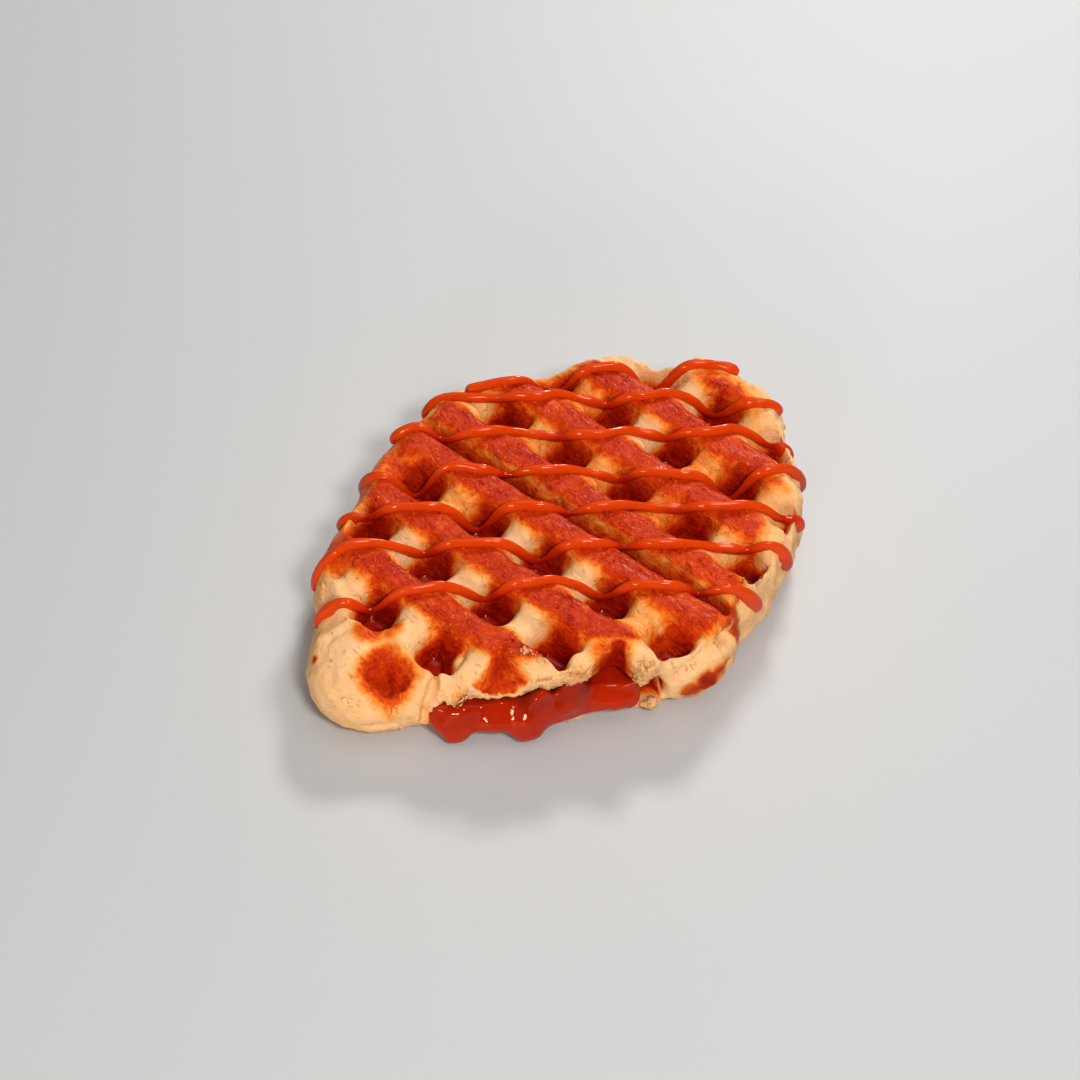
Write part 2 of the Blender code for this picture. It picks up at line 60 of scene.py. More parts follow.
# The underside's own lattice: how high its pockets reach, and where they are shallower.
BASE_CEILING = 5.6
BASE_RIM_MARGIN = 2.0
BASE_SOLID_FILL = 0.86
BASE_GROOVE_SHARE = 0.4

# The side of a ridge, by the distance from its middle, and the share of its height that is left there.
MAIN_SIDE = ((0.0, 1.0), (1.7, 1.0), (2.5, 0.985), (3.0, 0.95), (3.4, 0.86), (3.8, 0.70), (4.2, 0.51),
             (4.6, 0.33), (5.0, 0.17), (5.4, 0.06), (5.9, 0.01), (6.4, 0.0))
CROSS_SIDE = ((0.0, 1.0), (1.2, 0.99), (2.2, 0.95), (3.0, 0.86), (3.5, 0.74), (4.0, 0.57), (4.4, 0.41),
              (4.9, 0.22), (5.4, 0.09), (6.0, 0.02), (6.6, 0.0))

# Grid lines of the mesh, as distances from the middles of the ridges: close together on the pockets' walls.
TOP_STEP = 0.5
TOP_FLAT = 2.6
WALL_LINES = (2.85, 3.15, 3.4, 3.65, 3.9, 4.15, 4.4, 4.65, 4.9, 5.15, 5.4, 5.7, 6.1, 6.6, 7.1, 7.6)
BASE_LINES = (0.0, 2.0, 3.3, 4.2, 5.2, 6.6)
LINE_GAP = 0.18
GRID_REACH = (72.0, 52.0)
TOP_CLEARANCE = 0.45
BASE_CLEARANCE = 0.9

# How bare of glaze each cross ridge is between two main ridges, in rows from the back and from left to right.
SADDLE_COLUMNS = (-45.7, -29.5, -13.2, 13.8, 30.1, 46.3)
SADDLE_ROWS = (36.6, 20.3, 4.0, -12.3, -28.6, -44.9)
BARE_SADDLES = (
    (0.9, 0.6, 0.15, 0.75, 0.3, 0.5),
    (0.9, 1.0, 0.65, 0.55, 0.5, 0.9),
    (1.0, 1.0, 1.0, 0.6, 1.0, 1.0),
    (1.0, 1.0, 1.0, 0.45, 0.5, 0.7),
    (1.0, 1.0, 0.65, 0.8, 0.65, 0.9),
    (0.9, 0.9, 0.9, 0.9, 0.9, 0.9),
)

# The baked outline at its widest line, anticlockwise from the right end.
OUTLINE = (
    (61.9, -1.7), (62.2, 4.5), (59.5, 9.6), (50.8, 13.9), (48.7, 21.1), (44.6, 26.0), (38.4, 29.8),
    (31.4, 32.3), (27.2, 36.2), (22.7, 39.2), (17.9, 40.2), (13.3, 44.0), (7.4, 44.5), (1.0, 43.7),
    (-5.6, 43.7), (-16.8, 41.4), (-25.5, 37.7), (-34.3, 34.8), (-43.8, 31.0), (-50.8, 24.0),
    (-57.5, 19.7), (-63.4, 14.8), (-65.6, 8.4), (-63.8, 1.4), (-59.0, -3.9), (-53.8, -7.4),
    (-49.4, -11.6), (-43.6, -17.4), (-38.0, -22.8), (-31.6, -26.6), (-25.6, -29.4), (-21.2, -34.2),
    (-17.1, -38.0), (-11.2, -43.2), (-5.0, -45.6), (1.3, -44.3), (6.0, -42.8), (12.0, -42.4),
    (21.4, -41.2), (27.9, -39.3), (37.0, -35.8), (42.0, -31.8), (47.4, -27.5), (52.4, -20.8),
    (59.2, -14.0), (61.3, -8.4),
)
OUTLINE_STEPS = 13

# The rim. Bearings are in degrees from +X, seen from the middle, and a share rises or falls between two of them.
WIDEST_HEIGHT = 7.0
SHOULDER = 7.0
UNDER_SHOULDER = 4.6
TOP_ANGLE = 42.0
BASE_ANGLE = -62.0
SIDE_LEVELS = 16
RIM_FADE = (2.2, 6.0)
CROWN_WAVER = 0.35
THIN_SHOULDER = 4.8
THIN_RIM = 0.62
THIN_RISE = (-82.0, -64.0)
THIN_FALL = (42.0, 22.0)

# One pocket at the front reaches nearly to the edge: its bearing, width and how much thinner its rim is.
OPEN_RIM = (-110.0, 8.0, 0.6)

# The puffed end with one shallow pocket.
LOBE_EDGE = (-46.4, -50.6)
LOBE_TOP = 15.6
LOBE_SHOULDER = 13.0
LOBE_WAVER = 0.5
LOBE_POCKET = (-54.9, 0.5)
LOBE_POCKET_HALF = 4.6
LOBE_POCKET_DEPTH = 6.6
LOBE_POCKET_CORNER = 3.2

# The split along the front left side, and the torn ends of the ridges in it: bearing and half width,
# how much higher the split gapes under each, and how far each juts out.
SPLIT_RISE = (-171.5, -166.5)
SPLIT_FALL = (-110.0, -115.0)
LIP_TOP = 14.6
LIP_SHOULDER = 5.0
LIP_FADE = 0.2
LIP_INSET = 0.9
LEAST_LIP = 0.5
NOSES = ((-166.0, 3.6), (-157.0, 3.4), (-147.2, 3.6), (-138.6, 4.4), (-118.4, 3.7))
NOSE_RISE = (1.6, 1.2, 4.6, 5.8, 5.8)
NOSE_REACH = (0.4, 0.0, 0.6, 2.0, 2.3)

# Pockets that the split cuts open: middle, half width and floor.
CUT_POCKETS = ((-43.6, -18.6, 5.4, 11.6), (-28.6, -35.2, 5.0, 11.8))
CUT_POCKET_SLOPE = (0.45, 1.0)

# Where the dough between a pocket and the split stands higher: middle, radius and height.
RAISED_SPOTS = ((-42.2, -8.2, 3.9, 14.8), (-28.0, -25.6, 2.4, 16.6))

# A notch in the lip under a pocket that the split cuts: bearing, half width and depth.
NOTCH = (-125.8, 6.4, 2.6)

# Where the lower lip shows: a thin strip under the caramel, by bearing, half width and reach, and the curled
# lip below the torn hole, by bearing and half width, with how its five lowest rings rise and reach out.
LOWER_STRIP = (-136.5, 4.5, 1.6)
CURLED_LIP = (-114.6, 2.4)
CURLED_LIP_RISE = (1.6, 3.2, 2.8, 1.0, 0.0)
CURLED_LIP_REACH = (0.4, 1.2, 2.0, 1.8, 0.7)

# The caramel in the split. A drip is its bearing, its half widths to the left and right, and its reach.
FILLING_GAP = 0.35
FILLING_RUN = (-169.4, -121.0)
FILLING_STATIONS = 150
FILLING_DEPTH = 12.5
FILLING_BULGE = 1.6
FILLING_WAVER = 0.35
FILLING_END = 2.2
FILLING_END_TURNS = (20.0, 38.0, 54.0, 68.0, 80.0)
FOOT_CLEAR = 0.4
DRIPS = ((-166.6, 2.7, 3.6, 2.7), (-151.0, 3.4, 5.4, 3.1))

# Creases pressed or folded into the dough: points along each, its half width and its depth.
FOLDS = (
    (((-47.6, -5.6, 13.4), (-49.8, -6.7, 12.7), (-51.2, -7.2, 11.3), (-52.9, -7.5, 9.0), (-53.6, -8.0, 4.0)),
     0.8, 2.3),
    (((3.2, -43.0, 12.8), (0.1, -43.2, 14.2), (-4.9, -43.3, 15.6), (-8.1, -42.7, 15.0), (-11.3, -42.0, 12.8),
      (-13.8, -40.7, 10.5), (-16.0, -38.9, 8.6)), 1.0, 1.3),
    (((-0.8, -43.0, 14.4), (-5.4, -43.3, 15.4)), 1.7, 1.5),
    (((-58.5, 17.0, 9.0), (-56.0, 15.6, 12.8), (-52.5, 14.0, 14.4), (-50.0, 10.5, 14.6)), 0.9, 0.5),
    (((-62.6, 3.6, 11.0), (-63.6, 7.0, 11.2), (-61.6, 10.4, 12.6)), 0.8, 0.4),
    (((-57.4, -4.7, 5.2), (-60.6, -2.2, 5.4), (-63.2, 1.0, 5.0)), 0.8, 0.6),
    (((-54.9, 0.5, 9.2), (-53.4, 2.2, 10.0), (-51.6, 4.2, 12.6)), 0.6, 0.5),
    (((-54.9, 0.5, 9.2), (-56.6, 2.0, 10.0), (-58.6, 3.8, 12.6)), 0.6, 0.5),
    (((-54.9, 0.5, 9.2), (-54.6, -1.8, 10.0), (-54.2, -4.2, 12.4)), 0.6, 0.5),
)

# Layers that show round the side: from and to which bearing, at which heights, half width and depth.
LAYERS = (
    (-70.0, -8.0, 11.5, 12.5, 0.9, 0.8), (-48.0, 16.0, 8.6, 9.4, 0.8, 0.6), (-104.0, -74.0, 7.0, 9.0, 0.8, 0.7),
    (12.0, 66.0, 12.5, 10.0, 0.9, 0.7), (48.0, 118.0, 8.2, 9.6, 0.8, 0.6), (96.0, 152.0, 12.0, 10.2, 0.9, 0.6),
    (140.0, 168.0, 8.4, 9.2, 0.8, 0.6),
)

# Spots browned by the iron: middle, radius and strength.
BROWN_SPOTS = (
    ((-11.2, -43.2, 5.2), 3.0, 0.62), ((-8.4, -44.4, 7.2), 3.4, 0.7), ((-5.0, -45.2, 9.0), 2.8, 0.62),
    ((-60.6, 15.5, 11.0), 0.9, 0.8), ((-62.0, 14.2, 9.4), 0.9, 0.9), ((-63.4, 12.8, 8.0), 0.8, 0.7),
    ((-35.4, -17.7, 19.2), 1.9, 0.5), ((-34.6, -21.0, 18.8), 1.4, 0.45), ((-57.2, 10.6, 14.8), 0.5, 0.5),
    ((-59.4, 8.2, 14.2), 0.45, 0.5), ((-60.0, 11.6, 13.6), 0.4, 0.45),
)

# How bare of glaze the rim is, and how crumpled, by bearing.
BARE_RIM = (
    (-180.0, 0.95), (-172.0, 1.0), (-112.0, 1.0), (-60.0, 0.95), (-20.0, 1.0), (25.0, 1.0), (50.0, 0.9), (65.0, 0.8),
    (80.0, 0.6), (95.0, 0.3), (120.0, 0.25), (146.0, 0.35), (154.0, 0.95), (168.0, 0.95), (180.0, 0.95),
)
CRUMPLED_RIM = (
    (-180.0, 0.2), (-112.0, 0.2), (-100.0, 0.6), (-70.0, 1.0), (20.0, 1.0), (45.0, 0.4), (150.0, 0.3), (180.0, 0.2),
)

# How much glaze lies where: 0 is bare dough and 1 is the darkest red.
RIDGE_GLAZE = 0.79
POCKET_GLAZE = 0.93
SADDLE_GLAZE = 0.04
RIM_GLAZE = 0.08
SIDE_GLAZE = 0.07
LOBE_GLAZE = 0.04
LOBE_POCKET_GLAZE = 0.66
CUT_POCKET_GLAZE = 0.78
SPLIT_GLAZE = 0.9
UNDER_GLAZE = 0.30

# Spots that the glaze has run over: middle, radius and strength.
GLAZE_SPOTS = (
    ((-50.0, 10.2, 15.4), 4.2, 0.58), ((-47.5, 7.5, 16.4), 3.6, 0.5), ((2.6, -42.6, 12.5), 3.0, 0.72),
    ((3.2, -40.4, 15.0), 2.8, 0.7), ((-52.4, -9.6, 4.0), 2.4, 0.4), ((1.6, -43.4, 9.0), 2.2, 0.5),
    ((-22.4, -29.6, 18.4), 5.2, 0.5), ((-22.9, -30.0, 13.0), 5.0, 0.7), ((-53.2, 1.4, 10.4), 2.2, 0.88),
)

# Spots where the glaze lies thinner: middle, radius and how much glaze is left.
THIN_GLAZE_SPOTS = (
    ((-57.6, -0.9, 9.8), 3.4, 0.60), ((-55.0, -1.6, 10.4), 3.0, 0.62), ((-10.2, -32.5, 12.5), 5.6, 0.72),
    ((-9.0, -29.0, 16.5), 4.0, 0.66), ((-41.0, -19.4, 12.5), 4.4, 0.60), ((-44.0, -14.4, 14.5), 3.0, 0.56),
)

# Where the crust is torn and flaky: middle and radius, and how strongly.
TORN_SPOTS = (
    ((-35.2, -18.4, 19.0), 2.2), ((-34.9, -21.4, 18.4), 1.8), ((-23.0, -36.4, 15.0), 1.2), ((-57.3, -4.6, 3.2), 1.7),
    ((-55.1, -5.8, 2.8), 1.8), ((-53.6, -7.2, 3.4), 1.5), ((-48.6, 25.2, 11.4), 2.0), ((-47.0, 26.4, 13.4), 1.6),
)
TORN_STRENGTH = 0.8

# The places that each line of drizzle runs over, from its left end to its right end.
DRIZZLE = (
    ((13.2, 39.6), (17.5, 36.0), (22.5, 31.6), (31.0, 26.4), (38.5, 20.6), (46.0, 13.0), (54.0, 5.8), (58.6, -1.4)),
    ((4.6, 43.9), (8.5, 42.2), (12.0, 38.1), (20.8, 25.8), (26.5, 22.2), (36.2, 9.6), (41.5, 5.8), (46.0, 1.0),
     (52.3, -9.9), (56.4, -15.0)),
    ((-7.6, 42.4), (-3.4, 38.6), (-1.2, 34.2), (2.4, 29.4), (12.3, 21.0), (21.2, 8.9), (28.8, 4.1), (37.7, -7.4),
     (44.6, -12.2), (48.4, -18.6), (50.8, -22.6)),
    ((-20.4, 39.6), (-19.4, 36.0), (-17.6, 33.0), (-7.6, 25.9), (-3.8, 20.4), (5.0, 10.7), (11.8, 4.6), (20.3, -6.3),
     (25.3, -12.9), (36.4, -23.6), (41.6, -27.2), (45.6, -29.6)),
    ((-32.2, 35.0), (-28.8, 31.3), (-21.4, 23.0), (-17.8, 19.3), (-7.4, 8.7), (-2.9, 3.3), (4.4, -4.4), (15.0, -13.4),
     (21.3, -22.1), (27.2, -27.8), (31.6, -33.0), (35.4, -36.4)),
    ((-45.2, 30.0), (-42.2, 28.1), (-37.6, 25.3), (-32.0, 20.1), (-22.8, 10.0), (-17.0, 4.1), (-5.8, -8.2),
     (0.8, -14.5), (6.0, -21.3), (14.8, -29.2), (20.4, -36.6), (24.9, -40.6)),
    ((-52.4, 22.6), (-50.4, 20.9), (-47.4, 17.1), (-38.8, 8.7), (-33.2, 4.6), (-21.6, -7.1), (-15.6, -11.6),
     (-5.2, -25.6), (0.0, -31.2), (4.4, -37.0), (8.9, -41.0), (11.4, -42.6)),
)

# A thread's thickness: full where it rests, thin where it spans a pocket, with a drop at each end.
DRIZZLE_RADIUS = 1.2
DRIZZLE_THIN = 0.46
DRIZZLE_DROP = 1.55
DRIZZLE_TIP = (0.0, 0.08, 0.25, 0.5, 0.85, 1.3, 1.8)
DRIZZLE_SQUASH = (0.76, 1.18)
DRIZZLE_SIDES = 16

# How a thread lies: it rests on the ridges, sags between them and hangs over the rim.
DRIZZLE_STEP = 0.8
DRIZZLE_SPAN = 0.7
DRIZZLE_SEAT = 0.35
DRIZZLE_CURL = 0.56
DRIZZLE_ROUNDS = 700
DRIZZLE_HANG = 2.4
DRIZZLE_HANG_DEPTH = (1.6, -0.8)
DRIZZLE_RIGHT_END = 10.4

# Colours by how much glaze lies on the dough, and by the caramel's tone.
GLAZE_COLOURS = (
    (0.00, (0.86, 0.51, 0.255)), (0.14, (0.87, 0.46, 0.180)), (0.30, (0.86, 0.31, 0.062)),
    (0.46, (0.80, 0.15, 0.012)), (0.62, (0.62, 0.045, 0.0032)), (0.82, (0.43, 0.0155, 0.0014)),
    (1.00, (0.25, 0.0035, 0.0004)),
)
DRIZZLE_COLOURS = ((0.0, (0.30, 0.005, 0.0005)), (0.4, (0.50, 0.016, 0.0009)), (0.95, (0.64, 0.050, 0.0025)))
FILLING_COLOURS = ((0.0, (0.19, 0.006, 0.0008)), (0.35, (0.36, 0.011, 0.0008)), (0.9, (0.50, 0.021, 0.0012)))
POOL_COLOUR = (0.30, 0.006, 0.0006, 1.0)
# Painted shade in the hairline creases of the bare dough.
CREASE_SHADE_TINT = (0.80, 0.58, 0.42, 1.0)
BROWN_TINT = (0.62, 0.48, 0.42, 1.0)
DEEP_CARAMEL_TINT = (0.62, 0.30, 0.25, 1.0)

# Light that caramel throws back is warm, and only the strongest glints are white.
WARM_SHINE = (1.0, 0.42, 0.26, 1.0)
GLAZE_SHINE = (1.0, 0.30, 0.08, 1.0)

# The camera looks down on the split side, rolled a little, as through a long lens. Its turns are in degrees,
# about Z, then about its own X from straight down, then about its own line of sight.
CAMERA_AIM = (4.6, 8.45, 0.0)
CAMERA_DISTANCE = 500.0
CAMERA_TURNS = (-55.0, 42.0, 6.0)
CAMERA_LENS = 76.67
CAMERA_SENSOR = 36.0

# The studio: each light's name, size, power, azimuth, elevation and distance, and the plain surroundings.
LIGHTS = (
    ("Window", (0.17, 0.10), 4.0, 112.0, 36.0, 0.8),
    ("Key", (0.20, 0.13), 3.7, -28.0, 52.0, 0.8),
    ("Overhead", (0.8, 0.8), 2.3, 90.0, 80.0, 0.9),
    ("Front fill", (1.2, 0.8), 0.7, -90.0, 30.0, 1.1),
    ("Low window", (0.16, 0.10), 2.0, -66.0, 13.0, 0.8),
)
WORLD_COLOUR = (1.0, 0.98, 0.96, 1.0)
WORLD_STRENGTH = 0.12
FLOOR_COLOUR = (0.50, 0.49, 0.48, 1.0)
FLOOR_HALF = 3.0
FLOOR_DROP = 0.0002


def smooth(low, high, value):
    """0 below low, 1 above high, with a smooth rise between. It falls when low is above high."""
    share = np.clip((np.asarray(value, float) - low) / (high - low), 0.0, 1.0)
    return share * share * (3.0 - 2.0 * share)


def toward(value, target, share):
    """The value moved towards a target by a share of the way."""
    return value + (target - value) * share


def ease(values, rounds):
    """Evens out a row of values in place, all but its ends."""
    for _ in range(rounds):
        values[1:-1] = (values[:-2] + 2 * values[1:-1] + values[2:]) / 4


def read_off(table, value):
    """What a table of places and shares gives at a value, with straight runs between its rows."""
    places, shares = zip(*table)
    return np.interp(value, places, shares)


def round_bump(angle, bump):
    """1 at a bump's bearing and 0 away from it."""
    return np.exp(-((angle - bump[0]) / bump[1]) ** 2)


def waver(x, y, seed):
    """A slow wander between -1 and 1."""
    a, b, c = 0.11 + 0.013 * seed, 0.17 - 0.009 * seed, 1.7 * seed
    first = np.sin(a * x + b * y + c)
    second = np.sin(b * x - 1.6 * a * y + 2.3 * c)
    third = np.sin(2.1 * b * y + c)
    return (first + second + third) / 3.0


def swell(points, size, seed):
    """Smooth noise between about -1 and 1 at each point, with swells of a given size."""
    aside = Vector((17.3 * seed + SEED, 9.1 * seed, 4.7 * seed))
    return np.array([noise.noise(Vector(point) / size + aside) for point in points])


def flat_swell(x, y, size, seed):
    """The same noise over places seen from above."""
    flat = np.column_stack([np.ravel(x), np.ravel(y), np.zeros(np.size(x))])
    return swell(flat, size, seed).reshape(np.shape(x))


def between(before, first, after, beyond, t):
    """The place a share t along the smooth curve from first to after (Catmull-Rom)."""
    return 0.5 * (2 * first + (after - before) * t
                  + (2 * before - 5 * first + 4 * after - beyond) * t * t
                  + (3 * first - before - 3 * after + beyond) * t ** 3)


def curve_through(knots, steps):
    """Points on a closed smooth curve through the knots."""
    knots = np.array(knots, float)
    before, after, beyond = (np.roll(knots, way, 0) for way in (1, -1, -2))
    rows = [between(before, knots, after, beyond, step / steps) for step in range(steps)]
    return np.stack(rows, axis=1).reshape(-1, knots.shape[1])


def outward(ring):
    """The outward direction at each point of an anticlockwise ring."""
    along = np.roll(ring, -1, 0) - np.roll(ring, 1, 0)
    along /= np.linalg.norm(along, axis=1)[:, None]
    return np.stack([along[:, 1], -along[:, 0]], axis=1)


def bearing(x, y):
    """The direction of a place from the middle, in degrees from +X."""
    return np.degrees(np.arctan2(y, x))


EDGE = curve_through(OUTLINE, OUTLINE_STEPS)


def along_edge(angles, table):
    """A table with two columns and a row for each point of EDGE, read at the given bearings."""
    order = np.argsort(bearing(*EDGE.T))
    known = bearing(*EDGE.T)[order]
    return [np.interp(angles, known, table[order, axis]) for axis in (0, 1)]


def ring_depth(x, y, ring):
    """How far inside an anticlockwise ring each point lies, and below 0 outside it."""
    tree = kdtree.KDTree(len(ring))
    for at, (px, py) in enumerate(ring):
        tree.insert((px, py, 0.0), at)
    tree.balance()
    points = np.column_stack([np.ravel(x), np.ravel(y)])
    nearest = np.array([tree.find((px, py, 0.0))[1] for px, py in points])
    best = np.full(len(points), np.inf)
    signed = np.zeros(len(points))
    for shift in (-1, 0):
        start = ring[(nearest + shift) % len(ring)]
        side = ring[(nearest + shift + 1) % len(ring)] - start
        reach = points - start
        share = np.clip((reach * side).sum(1) / (side * side).sum(1), 0.0, 1.0)
        distance = np.linalg.norm(reach - share[:, None] * side, axis=1)
        left = side[:, 0] * reach[:, 1] - side[:, 1] * reach[:, 0] >= 0
        closer = distance < best
        best = np.where(closer, distance, best)
        signed = np.where(closer, np.where(left, distance, -distance), signed)
    return signed.reshape(np.shape(x))


def bearing_share(x, y, rise, fall):
    """1 between two bearings and 0 outside them, with a smooth rise and fall."""
    angle = bearing(x, y)
    return smooth(*rise, angle) * smooth(*fall, angle)


def split_share(x, y):
    """1 along the split side, 0 elsewhere."""
    return bearing_share(x, y, SPLIT_RISE, SPLIT_FALL)


def thin_share(x, y):
    """1 along the right side, where the rim is thin and upright, and 0 elsewhere."""
    return bearing_share(x, y, THIN_RISE, THIN_FALL)


def at_noses(angle, sizes):
    """A size for each torn end of a ridge, full at its middle and fading away from it."""
    return np.max([size * round_bump(angle, nose) for nose, size in zip(NOSES, sizes)], axis=0)


def lattice_place(x, y):
    """Where a place lies along and across the lattice, which leans a little."""
    return x + LEAN_X * y, y + LEAN_Y * x


def lobe_share(x, y):
    """1 in the puffed end, 0 elsewhere."""
    return smooth(*LOBE_EDGE, lattice_place(x, y)[0])


def cut_pocket_share(x, y, pocket):
    """1 over the floor of a pocket that the split cuts open, 0 outside its rim."""
    along, across = lattice_place(x, y)
    reach = np.maximum(np.abs(along - pocket[0]), np.abs(across - pocket[1])) / pocket[2]
    return 1.0 - smooth(*CUT_POCKET_SLOPE, reach)


def lattice(x, y):
    """The distance to the nearest main ridge and cross ridge, and whether this is the groove."""
    along, across = lattice_place(x, y)
    half = np.abs(along - GROOVE_X) - GROOVE_HALF
    main = np.where(half < 0, -half, np.abs((half + PITCH / 2) % PITCH - PITCH / 2))
    cross = np.abs((across - CROSS_Y + PITCH / 2) % PITCH - PITCH / 2)
    return main, cross, half < 0


def rounding(depth, reach):
    """A quarter round: 0 at the edge, 1 from the reach inwards."""
    share = 1.0 - np.clip(depth / reach, 0.0, 1.0)
    return np.sqrt(np.clip(1.0 - share * share, 0.0, 1.0))


def either(a, b, blend):
    """The larger of two values, with a soft join."""
    return 0.5 * (a + b + np.sqrt((a - b) ** 2 + blend * blend))


def lattice_share(x, y, sag, uneven):
    """The lattice as a share: 0 at a pocket's floor and 1 on a main ridge. The pockets' corners are round."""
    shift_x = uneven * (0.7 * flat_swell(x, y, 9.0, 1) + 0.42 * flat_swell(x, y, 3.4, 2))
    shift_y = uneven * (0.7 * flat_swell(x, y, 8.0, 3) + 0.42 * flat_swell(x, y, 3.1, 4))
    main, cross, groove = lattice(x + shift_x, y + shift_y)
    middle = 1.0 - smooth(2.6, PITCH / 2, main)
    reach = ((PITCH / 2 - main) ** CORNER + (PITCH / 2 - cross) ** CORNER) ** (1.0 / CORNER)
    crossing = read_off(CROSS_SIDE, PITCH / 2 - reach) * (1.0 - sag * (1.0 - middle))
    crossing = np.where(groove, 0.0, crossing)
    return np.clip(either(read_off(MAIN_SIDE, main), crossing, 0.05) - 0.012, 0.0, 1.0)


def top_height(x, y, depth, uneven=1.0):
    """The upper surface inside the outline."""
    split, lobe, thin = split_share(x, y), lobe_share(x, y), thin_share(x, y)
    rim = WIDEST_HEIGHT + (LIP_TOP - WIDEST_HEIGHT) * split * (1.0 - lobe)
    reach = SHOULDER + (LIP_SHOULDER - SHOULDER) * split + (THIN_SHOULDER - SHOULDER) * thin
    crown = RIDGE_TOP + CROWN_WAVER * waver(x, y, 1)
    cover = toward(rim, crown, rounding(depth, reach))
    share = lattice_share(x, y, CROSS_SAG / (RIDGE_TOP - POCKET_FLOOR), uneven)
    open_rim = round_bump(bearing(x, y), OPEN_RIM)
    fade = toward(1.0, LIP_FADE, split) * (1.0 - OPEN_RIM[2] * open_rim) * toward(1.0, THIN_RIM, thin)
    share = 1.0 - (1.0 - share) * smooth(RIM_FADE[0] * fade, RIM_FADE[1] * fade, depth)
    waffle = toward(POCKET_FLOOR, cover, share)
    waffle = np.where(cover < POCKET_FLOOR, cover, waffle)
    for pocket in CUT_POCKETS:
        waffle = toward(waffle, np.minimum(waffle, pocket[3]), cut_pocket_share(x, y, pocket))
    for spot_x, spot_y, radius, height in RAISED_SPOTS:
        near = smooth(1.3, 0.3, np.hypot(x - spot_x, y - spot_y) / radius)
        waffle = toward(waffle, np.maximum(waffle, height), near)
    puff = LOBE_TOP - WIDEST_HEIGHT + LOBE_WAVER * waver(x, y, 3)
    return toward(waffle, WIDEST_HEIGHT + puff * rounding(depth, LOBE_SHOULDER), lobe)


def base_height(x, y, depth):
    """The underside inside the outline: the same lattice, nearly solid under the split and the puffed end."""
    share = 1.0 - lattice_share(x, y, 0.0, 0.0)
    behind_split = split_share(x, y) * smooth(FILLING_DEPTH + 7.0, FILLING_DEPTH + 3.0, depth)
    share *= smooth(RIM_FADE[0] + BASE_RIM_MARGIN, RIM_FADE[1] + BASE_RIM_MARGIN, depth)
    share *= 1.0 - BASE_SOLID_FILL * np.maximum(lobe_share(x, y), behind_split)
    share = np.where(lattice(x, y)[2], BASE_GROOVE_SHARE * share, share)
    return WIDEST_HEIGHT * (1.0 - rounding(depth, UNDER_SHOULDER)) + BASE_CEILING * share


def caramel_section(angle):
    """The caramel's section at a bearing, as points out from the outline and up."""
    station = (angle - FILLING_RUN[0]) / (FILLING_RUN[1] - FILLING_RUN[0])
    full = math.sin(math.pi * min(max(station, 0.03), 0.97)) ** 0.35
    falls = []
    for where, before, after, _ in DRIPS:
        falls.append(math.exp(-abs((angle - where) / (before if angle < where else after)) ** 3.4))
    fall = max(falls)
    reach = DRIPS[falls.index(fall)][3]
    bulge = FILLING_BULGE * full + FILLING_WAVER * math.sin(9.0 * station)
    depth = FILLING_DEPTH * (0.45 + 0.55 * full)
    rise = float(at_noses(angle, NOSE_RISE) * (1.0 - 0.6 * round_bump(angle, NOTCH))) * full
    inner = [(-depth, 8.1), (-0.5 * depth, 8.4), (-3.2, 8.5), (-1.0, 8.6 + 0.8 * rise)]
    under = [(-0.5 * depth, 3.4), (-depth, 6.6)]
    plain = np.array([
        (0.1, 8.5 + rise), (0.7 * bulge, 7.2 + 0.9 * rise), (bulge + 0.7, 5.4 + 0.5 * rise),
        (bulge + 0.8, 3.6), (0.6 * bulge, 2.3), (-0.6, 2.3),
    ])
    hanging = np.array([
        (0.3 * reach, 8.2 + rise), (0.7 * reach, 6.6 + 0.6 * rise), (reach + 0.2, 4.6),
        (reach + 0.5, 2.2), (reach - 0.4, FOOT_CLEAR), (0.0, 1.0),
    ])
    return np.concatenate([inner, toward(plain, hanging, fall), under])


def split_profile(angle, inset, height):
    """The dough's own section in the split, as insets and heights: the lip, the hollow and the lower lip."""
    section = caramel_section(min(max(angle, FILLING_RUN[0] + 0.5), FILLING_RUN[1] - 0.5))
    roof = section[3, 1] + FILLING_GAP
    strip = LOWER_STRIP[2] * float(round_bump(angle, LOWER_STRIP))
    deep = -section[0, 0]
    back = [inset + 1.6]
    for place in (3.4, 0.5 * deep, deep):
        back.append(max(place, back[-1] + 0.4))
    return np.array([
        (inset, height), (inset - 0.05, height - 0.2 * (height - roof)),
        (inset + 0.3, height - 0.5 * (height - roof)), (inset + 1.0, roof + 0.6),
        (back[0], roof), (back[1], section[2, 1] + FILLING_GAP), (back[2], section[1, 1] + FILLING_GAP),
        (back[3], section[0, 1] + FILLING_GAP), (back[3] + 0.6, 7.3),
        (deep, section[-1, 1] - FILLING_GAP), (0.5 * deep, section[-2, 1] - FILLING_GAP),
        (1.2 - 0.6 * strip, 1.85), (0.35 - strip, 1.75), (0.3 - strip, 1.3),
        (0.9 - 0.8 * strip, 0.62), (1.6 - 0.4 * strip, 0.3),
    ])


